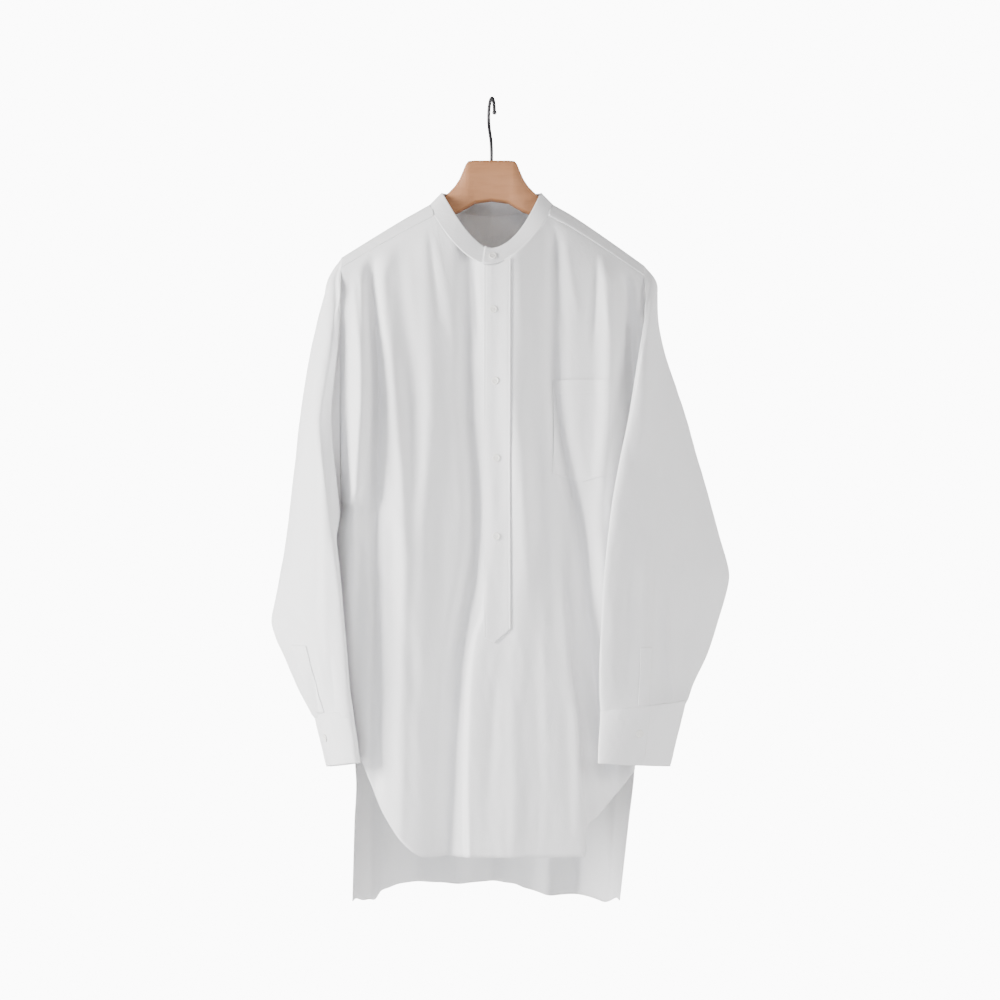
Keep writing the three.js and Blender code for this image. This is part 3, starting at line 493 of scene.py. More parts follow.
clothLook = {
    "colour": (0.86, 0.86, 0.87), "roughness": 0.85, "sheen": 0.15, "through": 0.15, "throughDepth": 0.003,
    "yarns": 950, "yarnRun": 9, "yarnHeight": 0.00016, "crumple": 55, "crumpleHeight": 0.0011,
}


def cottonMaterial():
    material, nodes, links = newMaterial("cottonCloth")
    cloth = setInputs(nodes["Principled BSDF"], {
        "Base Color": (*clothLook["colour"], 1), "Roughness": clothLook["roughness"],
        "Sheen Weight": clothLook["sheen"], "Sheen Roughness": 0.5, "Specular IOR Level": 0.25,
        "Subsurface Weight": clothLook["through"], "Subsurface Scale": clothLook["throughDepth"],
        "Subsurface Radius": (1.0, 0.95, 0.9)})
    lie = nodes.new("ShaderNodeUVMap")
    lie.uv_map = "cloth"
    both = nodes.new("ShaderNodeMath")
    both.operation = "ADD"
    long = 1 / clothLook["yarnRun"]
    for k, along in enumerate(((1, long, 1), (long, 1, 1))):      # warp and weft
        stretch = setInputs(nodes.new("ShaderNodeMapping"), {"Scale": along})
        yarn = setInputs(nodes.new("ShaderNodeTexNoise"), {"Scale": clothLook["yarns"], "Detail": 1.0})
        links.new(lie.outputs["UV"], stretch.inputs["Vector"])
        links.new(stretch.outputs["Vector"], yarn.inputs["Vector"])
        links.new(yarn.outputs["Fac"], both.inputs[k])
    crumple = setInputs(nodes.new("ShaderNodeTexNoise"), {
        "Scale": clothLook["crumple"], "Detail": 3.0, "Distortion": 0.6})
    links.new(lie.outputs["UV"], crumple.inputs["Vector"])
    creased = setInputs(nodes.new("ShaderNodeBump"), {
        "Distance": clothLook["crumpleHeight"], "Strength": 0.5})
    links.new(crumple.outputs["Fac"], creased.inputs["Height"])
    woven = setInputs(nodes.new("ShaderNodeBump"), {"Distance": clothLook["yarnHeight"], "Strength": 0.7})
    links.new(both.outputs["Value"], woven.inputs["Height"])
    links.new(creased.outputs["Normal"], woven.inputs["Normal"])
    links.new(woven.outputs["Normal"], cloth.inputs["Normal"])
    return material


cotton = cottonMaterial()
print("cloth tools are ready")


# Front panel

frontSize = {"step": 1.5, "fine": 0.55, "fineReach": 4, "down": 146, "lap": 5, "neckLap": 2.5, "tuck": 0.9}


def frontColumns():
    plain = np.arange(body["armhole"]["left"], body["armhole"]["right"], frontSize["step"])
    reach = frontSize["fineReach"]
    kept = [x for x in plain if all(abs(x - edge) > reach for edge in pleatColumn.values())]
    fine = [np.arange(edge - reach, edge + reach + 0.1, frontSize["fine"]) for edge in pleatColumn.values()]
    return np.unique(np.r_[kept, fine[0], fine[1], body["armhole"]["right"]])


def frontPoints(column, share):
    inNeck = np.abs(column) < yokeNeckX
    seam = frontTop(column)
    top = seam + np.where(inNeck, frontSize["neckLap"], frontSize["lap"])
    x = column + 0 * share
    for _ in range(2):
        z = mix(top, frontBottom(x), share)
        x = columnPlace(column, z)
    points = bodySurface(-1, acrossAt(x, z), z)
    points[..., 1] += frontSize["tuck"] * ease((z - seam + 2) / 3)
    points[..., 1] -= hemFold["out"] * ease((frontBottom(x) + hemFold["height"] - z) / hemFold["over"])
    return points


frontLine = frontColumns()[:, None]
frontShare = (np.linspace(0, 1, frontSize["down"]) ** 1.08)[None, :]
frontGrid = frontPoints(frontLine, frontShare)
frontNormals = facing(frontGrid, (0, -1, 0))
front = gridPiece("cloth_front", frontGrid, frontNormals, body["cloth"])
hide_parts("front")


# Back panel

backSize = {"across": 250, "down": 150, "lap": 4, "tuck": 0.9}

backShare = np.linspace(0, 1, backSize["down"])[None, :]
backAcross = np.linspace(-1, 1, backSize["across"])[:, None] + 0 * backShare
backTop = body["backSeam"] + backSize["lap"]
backHeights = mix(backTop, body["backHem"], backShare) + 0 * backAcross
for _ in range(2):                        # the hem's height depends on the place, and the other way round
    backPlace = placeOf(backAcross, backHeights)
    backHeights = mix(backTop, backBottom(backPlace), backShare)
backGrid = bodySurface(1, backAcross, backHeights)
backGrid[..., 1] -= backSize["tuck"] * ease((backHeights - body["backSeam"] + 2) / 3)
backGrid[..., 1] += hemFold["out"] * ease(
    (backBottom(backPlace) + hemFold["height"] - backHeights) / hemFold["over"])
backNormals = facing(backGrid, (0, 1, 0))
back = gridPiece("cloth_back", backGrid, backNormals, body["cloth"])
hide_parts("back")
print("front and back are made")


# Yoke: lines from the neck seam out to the armholes and to the back seam

yokeArm = [(68, -14), (75, -8), (82, -3), (90, 0), (98, 3), (106, 8), (116, 14)]
yokeBack = [(127, 1), (134, 0.86), (142, 0.72), (150, 0.56), (160, 0.38), (170, 0.19)]
yokeSize = {
    "between": 8, "along": 56, "under": -0.016, "edge": 1.2, "proud": 0.5, "fade": 6, "backFade": 0.08,
}


def yokePoints(x, root):
    drop = root * root
    tilt = np.minimum(drop / 8, 1) * math.pi / 2
    wall = body["cadWall"] / 2
    depth = np.where(root < 0, fall(frontFall, drop), fall(backFall, drop)) + wall * np.sin(tilt)
    return np.stack([x, np.sign(root) * depth, ridge(x) - drop + wall * np.cos(tilt)], axis=-1)


def yokeLine(side, angle, outerX, outerRoot):
    turned = math.radians(angle)
    innerX = side * body["neckHalfWidth"] * math.sin(turned)
    innerDrop = max(float(ridge(innerX) - neckHeight(turned)), 0)
    innerDrop += 6 * max(0, 1 - (angle - body["yokeAngle"]) / 3)
    innerRoot = (-1 if angle < 90 else 1) * math.sqrt(innerDrop)
    t = np.linspace(yokeSize["under"], 1, yokeSize["along"])
    return yokePoints(mix(innerX, outerX, t), mix(innerRoot, outerRoot, t))


def yokeHalf(side):
    armX = body["armhole"]["left"] + 0.3 if side < 0 else body["armhole"]["right"] - 0.3
    low = body["backSeam"] - yokeSize["edge"]
    lines = [(yokeArm[0][0], armX, -math.sqrt(yokeSize["edge"] - yokeArm[0][1]))]
    lines += [(angle, armX, math.copysign(math.sqrt(abs(drop)), drop)) for angle, drop in yokeArm[1:]]
    lines += [(angle, armX * share, math.sqrt(ridge(armX * share) - low)) for angle, share in yokeBack]
    lines += [(180, 0, math.sqrt(ridge(0) - low))]
    angles, places, roots = (resampled(values, yokeSize["between"]) for values in zip(*lines))
    return [yokeLine(side, angle, place, root) for angle, place, root in zip(angles, places, roots)]


yokeGrid = np.array([*yokeHalf(-1), *yokeHalf(1)[::-1][1:]])
yokeNormals = facing(yokeGrid, (0, 0, 1))
count = np.arange(len(yokeGrid))
fromFront = np.minimum(count, count[::-1])[:, None] / yokeSize["fade"]
toBack = (1 - np.linspace(yokeSize["under"], 1, yokeSize["along"]))[None, :] / yokeSize["backFade"]
behind = fromFront * yokeSize["fade"] > len(yokeArm) * yokeSize["between"]
proud = np.where(behind, ease(1 - toBack), ease(1 - fromFront))
yokeGrid = yokeGrid + yokeNormals * (yokeSize["proud"] * proud)[..., None]
yoke = gridPiece("cloth_yoke", yokeGrid, yokeNormals, body["cloth"])
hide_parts("yoke")


# Collar band

band = {
    "topHalfWidth": 64, "topSideHeight": -121, "topFrontDrop": 78, "topFrontDepth": 47, "topBackDepth": 33,
    "curveLeft": 1.65, "curveRight": 2.0, "overlap": 8, "flap": 12, "flapOver": 26, "layOn": 2.0,
    "proud": 1.0, "lap": 1.2,
    "across": 240, "down": 22, "cloth": 1.6,
}


def bandPoints(degrees, down):
    angle = np.radians(degrees)
    sine, cosine = np.sin(angle), np.cos(angle)
    drop = ridge(body["neckHalfWidth"] * sine) - neckHeight(angle)
    depth = np.where(cosine > 0, fall(frontFall, drop), fall(backFall, drop))
    low = np.stack([
        (body["neckHalfWidth"] + band["proud"]) * sine,
        -np.sign(cosine) * (depth + (body["cadWall"] / 2 + band["proud"]) * np.abs(cosine)),
        neckHeight(angle) - band["lap"]], axis=-1)
    curve = np.where(sine < 0, band["curveLeft"], band["curveRight"])
    front = band["topFrontDrop"] * (1 - np.abs(sine) ** curve)
    high = np.stack([
        band["topHalfWidth"] * sine,
        np.where(cosine > 0, -band["topFrontDepth"] * cosine, -band["topBackDepth"] * cosine),
        band["topSideHeight"] - np.where(cosine > 0, front, -3 * cosine**2)], axis=-1)
    return mix(high, low, down[..., None])


bandAngles = np.linspace(-band["overlap"], 360 + band["overlap"], band["across"])[:, None]
bandFlat = bandPoints(bandAngles, np.linspace(0, 1, band["down"])[None, :] + 0 * bandAngles)
bandOut = turnedTo((0, -1, 0), bandFlat, (0, 0))
bandStand = band["layOn"] * (1 - ease((bandAngles - band["flap"]) / band["flapOver"]))
bandGrid = bandFlat + bandOut * bandStand[..., None]
collar = gridPiece("cloth_collar_band", bandGrid, bandOut, band["cloth"])
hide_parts("collar_band")
print("yoke and collar band are made")


# Placket strip and pocket, laid on the front

def laidOnFront(x, z, stand):             # places on the front's surface, moved out
    x, z = x + 0 * z, z + 0 * x
    step = 0.6
    middle, right, left, low, high = (
        bodySurface(-1, acrossAt(x + dx, z + dz), z + dz)
        for dx, dz in ((0, 0), (step, 0), (-step, 0), (0, -step), (0, step)))
    out = np.cross(right - left, low - high)
    out = out / np.linalg.norm(out, axis=-1, keepdims=True)
    out = np.where(out[..., 1:2] > 0, -out, out)
    return middle + out * np.asarray(stand)[..., None], out


def stitchedIn(distance, half=0.8):       # how far a line of stitches pulls the cloth in
    return np.exp(-(distance / half) ** 2)


placket = {
    "left": -9, "right": 25, "end": -700, "tip": 18, "tipX": 4, "stand": 1.9, "stitch": 2.4, "pull": 0.4,
    "across": 40, "down": 220, "cloth": 1.3,
}
placketX = np.linspace(placket["left"], placket["right"], placket["across"])[:, None]
placketShare = np.linspace(0, 1, placket["down"])[None, :]
placketRise = placket["tip"] * (placketX - placket["tipX"]) / (placket["right"] - placket["tipX"])
placketRise = np.maximum(placketRise, 0.5 * (placket["tipX"] - placketX))
placketZ = mix(frontTop(placketX) - 2, placket["end"] + placketRise, placketShare)
fromEdge = np.minimum(placketX - placket["left"], placket["right"] - placketX)
placketStand = placket["stand"] - placket["pull"] * stitchedIn(fromEdge - placket["stitch"]) + 0 * placketZ
placketGrid, placketNormals = laidOnFront(placketX, placketZ, placketStand)
placketPiece = gridPiece("cloth_placket", placketGrid, placketNormals, placket["cloth"])
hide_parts("placket")

pocket = {
    "left": 78, "right": 152, "top": -367, "bottom": -497, "point": 10, "stand": 1.5, "hem": 18,
    "stitch": 2, "pull": 0.35, "gape": 1.6, "gapeDown": 40, "gapeAt": 18, "gapeWidth": 110,
    "across": 76, "down": 110, "cloth": 1.0,
}
pocketX = np.linspace(pocket["left"], pocket["right"], pocket["across"])[:, None]
pocketShare = np.linspace(0, 1, pocket["down"])[None, :]
pocketMiddle = (pocket["left"] + pocket["right"]) / 2
pocketHalf = pocketMiddle - pocket["left"]
pocketEnd = pocket["bottom"] + pocket["point"] * np.abs(pocketX - pocketMiddle) / pocketHalf
pocketZ = mix(pocket["top"] + 0 * pocketX, pocketEnd, pocketShare)
fromEdge = np.minimum(np.minimum(pocketX - pocket["left"], pocket["right"] - pocketX), pocketZ - pocketEnd)
pocketStand = pocket["stand"] - pocket["pull"] * stitchedIn(fromEdge - pocket["stitch"])
pocketStand = pocketStand - pocket["pull"] * stitchedIn(pocket["top"] - pocket["hem"] - pocketZ)
gapeDown = ease((pocketZ - pocket["top"] + pocket["gapeDown"]) / pocket["gapeDown"])
pocketStand = pocketStand + pocket["gape"] * gapeDown * np.cos(
    math.pi * (pocketX - pocketMiddle - pocket["gapeAt"]) / pocket["gapeWidth"])
pocketGrid, pocketNormals = laidOnFront(pocketX, pocketZ, pocketStand)
pocketPiece = gridPiece("cloth_pocket", pocketGrid, pocketNormals, pocket["cloth"])
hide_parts("pocket")
print("placket and pocket are laid on the front")


# Sleeves: flattened rings by height. The front edge is the fold towards the viewer, the outer edge is
# the fold at the elbow, half is half the sleeve's thickness, and tilt lowers the outer edge.

ringColumns = "z frontX frontY outX outY half tilt"
sleeveRings = {
    "left": [
        (-252, -201, -36, -211, -3, 8, 0), (-285, -201, -50, -221, 4, 10, 0),
        (-325, -204, -60, -231, 12, 12, 0), (-370, -211, -68, -239, 20, 12, 0),
        (-415, -217, -74, -246, 30, 12, 0), (-455, -214, -79, -251.5, 38, 13, 0),
        (-508, -207, -84, -259, 44, 14, 0), (-560, -200.5, -89, -266, 48, 15, 0),
        (-620, -192.5, -93, -277, 48, 15, 0), (-655, -189, -95, -284, 45, 15, 0),
        (-680, -186.5, -96, -288, 42, 15, 0), (-700, -184.5, -97, -281, 35, 15, -2),
        (-720, -183, -98, -270, 28, 15, -4), (-760, -180, -98, -248, 14, 14, -9),
        (-785, -177, -96, -231, 5, 14, -13),
    ],
    "right": [
        (-252, 203, -36, 209, -4, 8, 0), (-285, 200, -54, 210, 0, 9, 0),
        (-325, 192, -68, 220, 2, 11, 0), (-370, 184, -82, 236, 2, 13, 0),
        (-415, 176, -93, 251, 0, 15, 0), (-455, 167, -102, 262.5, -2, 17, 0),
        (-508, 156, -112, 278, -6, 18, 0), (-560, 148, -119, 292, -10, 18, 0),
        (-610, 142, -123, 306, -15, 17, 0), (-630, 140.5, -124, 305, -18, 17, 0),
        (-676, 138, -125, 291, -28, 16, 0), (-720, 136, -124, 276, -44, 15, 3),
        (-760, 136, -119, 257, -62, 14, 7), (-781, 137, -115, 249, -76, 14, 9),
    ],
}
cuffRings = {
    "left": [(-786, -178, -95, -227, 4, 13, -13), (-851, -169, -92, -211, 6, 12, -16)],
    "right": [(-782, 138, -113, 246, -79, 13, 9), (-848, 134, -126, 226, -68, 12, -10)],
}
sleeve = {
    "reach": -1.2, "seamTurn": 45, "swellShare": 0.3, "bodyClear": 6, "capBulge": 4,
    "swell": {"left": 18, "right": 15}, "swellFrom": {"left": 39, "right": 66},
    "foldsFrom": -262, "foldsOver": 40, "backFoldsFrom": -400, "capRows": 12, "capBend": 0.6,
    "across": 210, "down": 140, "firstRow": -252, "tuckDown": 8, "tuckIn": 2.2, "tuckRows": 5,
}
cuff = {
    "wall": 2.0, "opening": {"left": 75, "right": 86}, "flap": 34, "flapOver": 50, "under": 22,
    "corner": 14, "pull": 0.4, "stitch": 2.6, "across": 220, "down": 40,
}
sleeveRipples = {"height": 0.45, "across": 30, "down": 120, "seed": {-1: 8, 1: 9}}
cuffRipples = {"height": 0.35, "across": 26, "down": 60, "seed": {-1: 11, 1: 11}}

# Folds on the half of each sleeve that faces the viewer: lines in x and z, as on the body
sleeveCreases = {
    "left": [
        (-222, -470, -222, -700, -2.4, 6), (-211, -430, -209, -760, 2.6, 7),
        (-238, -400, -262, -660, 1.8, 9), (-228, -300, -244, -480, -1.5, 6),
        (-276, -640, -226, -690, -1.8, 6), (-262, -700, -232, -760, 1.6, 6),
        (-229, -742, -219, -806, -3.4, 3.6), (-220, -700, -208, -780, 1.8, 4),
        (-204, -715, -196, -800, -1.6, 4), (-240, -735, -226, -800, 1.8, 4),
    ],
    "right": [
        (194, -330, 186, -470, 4, 9), (216, -330, 222, -560, -2.6, 11), (204, -470, 196, -660, 1.8, 12),
        (252, -450, 270, -640, -1.6, 12), (172, -600, 169, -770, -1.9, 6), (192, -580, 188, -770, 2.2, 7),
        (152, -640, 152, -790, 1.4, 7), (219, -640, 229, -782, 3.2, 3.2), (210, -640, 216, -780, -1.8, 4),
        (250, -660, 240, -770, -2.0, 6), (286, -640, 248, -750, 1.6, 8),
    ],
}
sleeveBackCreases = {
    "left": [
        (-236, -420, -250, -640, 2.2, 9), (-214, -500, -218, -740, -2.0, 7),
        (-240, -690, -214, -800, 2.4, 5), (-262, -650, -234, -780, -2.0, 6),
    ],
    "right": [
        (226, -400, 240, -620, 2.2, 10), (190, -480, 186, -720, -2.0, 8), (232, -640, 214, -780, 2.4, 6),
        (262, -620, 238, -770, -2.0, 7),
    ],
}
sleeveStep = {         # the pleat beside the right cuff's opening: cloth on its left stands out
    "z": [-560, -600, -695, -758, -800], "x": [205, 204, 202, 196.5, 194.5], "out": [0, 2.5, 4.2, 4.2, 3.2],
    "edge": 1.2,
}


def ringPoint(ring, side, degrees):
    angle = np.radians(degrees)
    z = ring["z"] + 0 * angle
    near, far = (
        np.stack([ring[end + "X"] + 0 * z, ring[end + "Y"] + 0 * z, z], -1) for end in ("front", "out"))
    reach = (far - near) / 2
    length = np.hypot(reach[..., 0], reach[..., 1])
    face = np.stack([side * reach[..., 1] / length, -side * reach[..., 0] / length, 0 * z], -1)
    out = face * (ring["half"] * np.sin(angle))[..., None]
    point = (near + far) / 2 + reach * np.cos(angle)[..., None] + out
    point[..., 2] += ring["tilt"] * (1 + np.cos(angle)) / 2
    return point


def ringsAt(rows, z):
    return {"z": z, **{key: readAt(rows, key, z) for key in ringColumns.split()[1:]}}


def sleeveEdge(side, z, toward):
    point = bodySurface(toward, side + 0 * z, np.maximum(z, body["armholeBottom"]))
    point[..., 0] = body["armhole"][sideNames[side]] + side * sleeve["reach"]
    point[..., 2] = z
    return point


def clearOfBody(side, point):
    x, y, z = point[..., 0], point[..., 1], point[..., 2]
    edge = readAt(sides, sideNames[side], z)
    toward = np.where(y < 0, -1, 1)
    across = acrossAt(x, z)
    panel = np.where(toward < 0, bodySurface(-1, across, z)[..., 1], bodySurface(1, across, z)[..., 1])
    cleared = toward * np.maximum(toward * y, toward * panel + sleeve["bodyClear"])
    point[..., 1] = np.where(side * (edge - x) > 0, cleared, y)
    return point


def sleeveBase(side, rows, share, z):
    z, share = z + 0 * share, share + 0 * z
    ring = ringsAt(rows, z)
    point = ringPoint(ring, side, 90 - share * 180)
    seam = ringPoint(ring, side, -90 + 0 * share)
    held = np.where((share < 0)[..., None], sleeveEdge(side, z, -1), sleeveEdge(side, z, 1))
    toward = np.where(share < 0, -1, 1)
    left = ease((body["armholeBottom"] - 10 - z) / sleeve["seamTurn"])
    edge = mix(held, seam, left[..., None])
    edge[..., 2] = z + ring["tilt"] * left / 2
    edge[..., 1] += toward * np.where(z > body["armholeBottom"], 0, 0.3 + body["cadWall"] / 2 * (1 - left))
    pull = 1 - ease((1 - np.abs(share)) / 0.5)
    near = np.clip((1 - np.abs(share)) / sleeve["swellShare"], 0, 1)
    name = sideNames[side]
    swell = ease((body["armholeTop"] - z - sleeve["swellFrom"][name]) / 60)
    swell = swell * (1 - ease((body["armholeBottom"] - z - 20) / 70))
    point = point + (edge - seam) * pull[..., None]
    point[..., 0] += side * sleeve["swell"][name] * swell * np.sin(math.pi * np.sqrt(near))
    return clearOfBody(side, point)


def sleeveFolded(side, grid, share):      # the folds, moved out along each half of the flattened sleeve
    name = sideNames[side]
    x, z = grid[..., 0], grid[..., 2]
    out = turnedTo((0, -1, 0), grid, (len(grid) // 2, grid.shape[1] // 2))
    front = ease((0.5 - np.abs(share + 0.02)) / 0.07)
    back = ease((np.abs(share) - 0.56) / 0.07) * ease((0.97 - np.abs(share)) / 0.1)
    back = back * ease((sleeve["backFoldsFrom"] - z) / 60)
    below = ease((sleeve["foldsFrom"] - z) / sleeve["foldsOver"])
    folds = creasesAt(sleeveCreases[name], x, z) * front * below
    folds = folds + creasesAt(sleeveBackCreases[name], x, z) * back
    folds = folds + ripplesAt(sleeveRipples, x, z, side) * below * np.maximum(front, back)
    if side > 0:
        place = np.interp(-z, -np.array(sleeveStep["z"], float), sleeveStep["x"])
        height = np.interp(-z, -np.array(sleeveStep["z"], float), sleeveStep["out"])
        height = height * (stepDown(x - place, sleeveStep["edge"]) - 0.35)
        folds = folds + height * front * ease((x - 150) / 40)
    return grid + out * folds[..., None]


def sleeveCap(side, share):
    turn = 0.4
    armX = body["armhole"][sideNames[side]]
    front = mix(-math.sqrt(body["frontSeamArm"]), 1, (share + 1) / (1 + turn))
    behind = mix(1, math.sqrt(ridge(armX) - body["backSeam"]), (share - turn) / (1 - turn))
    root = np.where(share < turn, front, behind)
    return yokePoints(armX + side * (sleeve["reach"] - 0.5) + 0 * share, root)


def sleeveGridOf(side, rows, cuffTop):
    share = np.linspace(-1, 1, sleeve["across"])[:, None]
    last = rows[-1]["z"]
    heights = np.linspace(sleeve["firstRow"], last, sleeve["down"])[None, :]
    lower = sleeveFolded(side, sleeveBase(side, rows, share, heights), share)
    cap = sleeveCap(side, share[:, 0])
    slope = lower[:, 1] - lower[:, 0]
    upper = []
    for t in np.arange(sleeve["capRows"]) / sleeve["capRows"]:
        straight = mix(cap, lower[:, 0], t)
        bend = t * t * (1 - t) * (lower[:, 0] - cap - slope * sleeve["capRows"])
        row = straight + sleeve["capBend"] * bend
        row[:, 0] += side * sleeve["capBulge"] * math.sin(math.pi * t) * np.cos(share[:, 0] * math.pi / 2)
        upper.append(row)
    tuckIn = sleeve["tuckIn"]             # the sleeve's end, tucked into the cuff
    inner = {
        **cuffTop, "z": cuffTop["z"] - sleeve["tuckDown"], "half": cuffTop["half"] - tuckIn,
        "frontX": cuffTop["frontX"] + side * tuckIn, "outX": cuffTop["outX"] - side * tuckIn}
    end = ringPoint(inner, side, 90 - share[:, 0] * 180)
    tuckShare = np.arange(1, sleeve["tuckRows"] + 1) / sleeve["tuckRows"]
    tucked = [mix(lower[:, -1], end, ease(t)) for t in tuckShare]
    return np.concatenate([np.stack(upper, axis=1), lower, np.stack(tucked, axis=1)], axis=1)


strips = {
    "left": {"top": (-0.05, 0.1), "end": (-0.05, 0.1)},
    "right": {"top": (-0.144, -0.078), "end": (-0.084, -0.004)},
}
stripSize = {"from": -705, "across": 24, "down": 60, "stand": 1.3, "cloth": 1.2}


def addSleeve(side, rows, cuffTop):
    name = sideNames[side]
    grid = sleeveGridOf(side, rows, cuffTop)
    out = normalsOf(grid)
    middle = out[sleeve["across"] // 2, sleeve["down"] // 2]
    out = out if middle[0] * side > 0 or middle[1] < 0 else -out
    piece = gridPiece("cloth_sleeve_" + name, grid, out, body["cloth"])
    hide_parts("sleeve_" + name)


def addCuff(side, top, bottom, outward):  # wound round from its opening, the end lying under the start
    name = sideNames[side]
    opening = cuff["opening"][name]
    angles = np.linspace(opening, opening + 360 + cuff["under"], cuff["across"])[:, None]
    high, low = ringPoint(top, side, angles), ringPoint(bottom, side, angles)
    away = np.linalg.norm(high - ringPoint(top, side, np.array([[float(opening)]])), axis=-1)
    inCorner = np.clip(1 - away / cuff["corner"], 0, 1) * (angles < 180)
    length = np.linalg.norm(high - low, axis=-1)
    reach = 1 - cuff["corner"] * (1 - np.sqrt(1 - inCorner**2)) / length
    down = np.linspace(0, 1, cuff["down"])[None, :]
    flat = mix(high, low, (down * reach)[..., None])
    out = turnedTo(outward, flat, (3, cuff["down"] // 2))
    stand = (cuff["wall"] + 0.3) * (1 - ease((angles - opening - cuff["flap"]) / cuff["flapOver"]))
    seams = ((length * down * reach, 1), (length * (1 - down) * reach, 1), (away, angles < 180))
    for distance, share in seams:
        stand = stand - cuff["pull"] * stitchedIn(distance - cuff["stitch"]) * share
    stand = stand + ripplesAt(cuffRipples, flat[..., 0], flat[..., 2], side)
    grid = flat + out * stand[..., None]
    piece = gridPiece("cloth_cuff_" + name, grid, out, cuff["wall"])
    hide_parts("cuff_" + name)
    return grid, out


def addStrip(side, rows, outward):        # the placket above the cuff's opening
    name = sideNames[side]
    top, end = strips[name]["top"], strips[name]["end"]
    t = np.linspace(0, 1, stripSize["down"])[None, :]
    across = np.linspace(0, 1, stripSize["across"])[:, None]
    share = mix(mix(top[0], end[0], t), mix(top[1], end[1], t), across)
    heights = mix(stripSize["from"], rows[-1]["z"], t) + 0 * share
    grid = sleeveFolded(side, sleeveBase(side, rows, share, heights), share)
    out = turnedTo(outward, grid, (stripSize["across"] // 2, stripSize["down"] // 2))
    piece = gridPiece(
        "cloth_sleeve_placket_" + name, grid + out * stripSize["stand"], out, stripSize["cloth"])
    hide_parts("sleeve_placket_" + name)


cuffGrids = {}
for side, name in sideNames.items():
    rows = table(ringColumns, sleeveRings[name])
    top, bottom = table(ringColumns, cuffRings[name])
    face, behind = (ringPoint(top, side, np.array([angle]))[0] for angle in (90.0, -90.0))
    addSleeve(side, rows, top)
    cuffGrids[name] = addCuff(side, top, bottom, face - behind)
    addStrip(side, rows, face - behind)
print("sleeves, cuffs and sleeve plackets are made")


# Buttons

button = {
    "profile": [
        (0, 0.15), (2.6, 0.15), (3.2, 0.4), (3.9, 0.62), (4.5, 0.62), (4.9, 0.4), (5.0, 0.1), (4.9, -0.3),
        (4.4, -0.65), (3.4, -0.75), (0, -0.75)],
    "steps": 40, "thread": 0.42, "threadShape": (1, 3.2, 0.9), "threadPlaces": [(-0.9, 0.3), (0.9, 0.3)],
    "front": [(3, -278), (6, -369), (7.2, -467), (7.2, -566)],
    "lift": {"placket": 3.45, "band": 1.8, "cuff": 1.9}, "cuffAngle": 13, "cuffDown": 0.45,
}
shellMaterial = plainMaterial("buttonShell", {"Base Color": (0.86, 0.85, 0.82, 1), "Roughness": 0.3})


def sewOn(name, point, outward):
    mesh = bmesh.new()
    verts = [mesh.verts.new((x * mm, 0, z * mm)) for x, z in button["profile"]]
    for a, b in zip(verts, verts[1:]):
        mesh.edges.new((a, b))
    bmesh.ops.spin(
        mesh, geom=mesh.verts[:] + mesh.edges[:], cent=(0, 0, 0), axis=(0, 0, 1), angle=math.radians(360),
        steps=button["steps"], use_merge=True)
    bmesh.ops.remove_doubles(mesh, verts=mesh.verts, dist=0.00001)
    for x, z in button["threadPlaces"]:   # the sewing thread, two short bars
        ball = bmesh.ops.create_uvsphere(mesh, u_segments=10, v_segments=8, radius=button["thread"] * mm)
        bmesh.ops.scale(mesh, verts=ball["verts"], vec=button["threadShape"])
        bmesh.ops.translate(mesh, verts=ball["verts"], vec=(x * mm, 0, z * mm))
    bmesh.ops.recalc_face_normals(mesh, faces=mesh.faces)
    turn = Vector(outward).to_track_quat("Z", "Y").to_matrix().to_4x4()
    bmesh.ops.transform(mesh, matrix=Matrix.Translation(Vector(point) * mm) @ turn, verts=mesh.verts)
    piece = finishedPiece("shell_" + name, mesh, shellMaterial)
    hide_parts(name)


lift = button["lift"]
for k, (x, z) in enumerate(button["front"]):
    place, out = laidOnFront(np.array([[float(x)]]), np.array([[float(z)]]), np.array([[lift["placket"]]]))
    sewOn(f"button_{k + 1}", place[0, 0], out[0, 0])

column = int((band["overlap"] + 2) / (360 + 2 * band["overlap"]) * band["across"])
spot = (column, band["down"] // 2)
sewOn("button_band", bandFlat[spot] + bandOut[spot] * (band["layOn"] + lift["band"]), bandOut[spot])
column = int(button["cuffAngle"] / (360 + cuff["under"]) * cuff["across"])
spot = (column, int(button["cuffDown"] * cuff["down"]))
for name, (grid, out) in cuffGrids.items():
    sewOn("button_cuff_" + name, grid[spot] + out[spot] * lift["cuff"], out[spot])
print("buttons are sewn on")


# Hanger, hook and tip

hangerRows = table("x top bottom half crown", [
    (0, -79.4, -131.6, 11, 0), (22, -79.4, -134.6, 11, 0), (30, -80.2, -139.6, 11, 0),
    (33.5, -84.5, -141.4, 11, 0), (37, -93, -143.4, 11, 0), (41.5, -103.5, -146.2, 11, 0),
    (47.5, -112.5, -148.3, 11, 0.1), (55, -120, -151, 11, 0.3), (65, -128.5, -153.5, 11.5, 0.7),
])
armRows = [                               # how far out, how thick, half the depth
    (76, 17, 12), (95, 17, 12.5), (120, 20, 14), (148, 24, 18), (172, 26, 20), (185, 24, 19), (190, 15, 14)]
hanger = {"clear": 0.5, "corner": 3.0, "endDrop": 4, "between": 3}

for x, thick, half in armRows:
    top = float(ridge(x)) - hanger["clear"] - (2 if x < body["neckHalfWidth"] else 0)
    top -= hanger["endDrop"] if x == armRows[-1][0] else 0
    hangerRows.append({"x": x, "top": top, "bottom": top - thick, "half": half, "crown": 1})


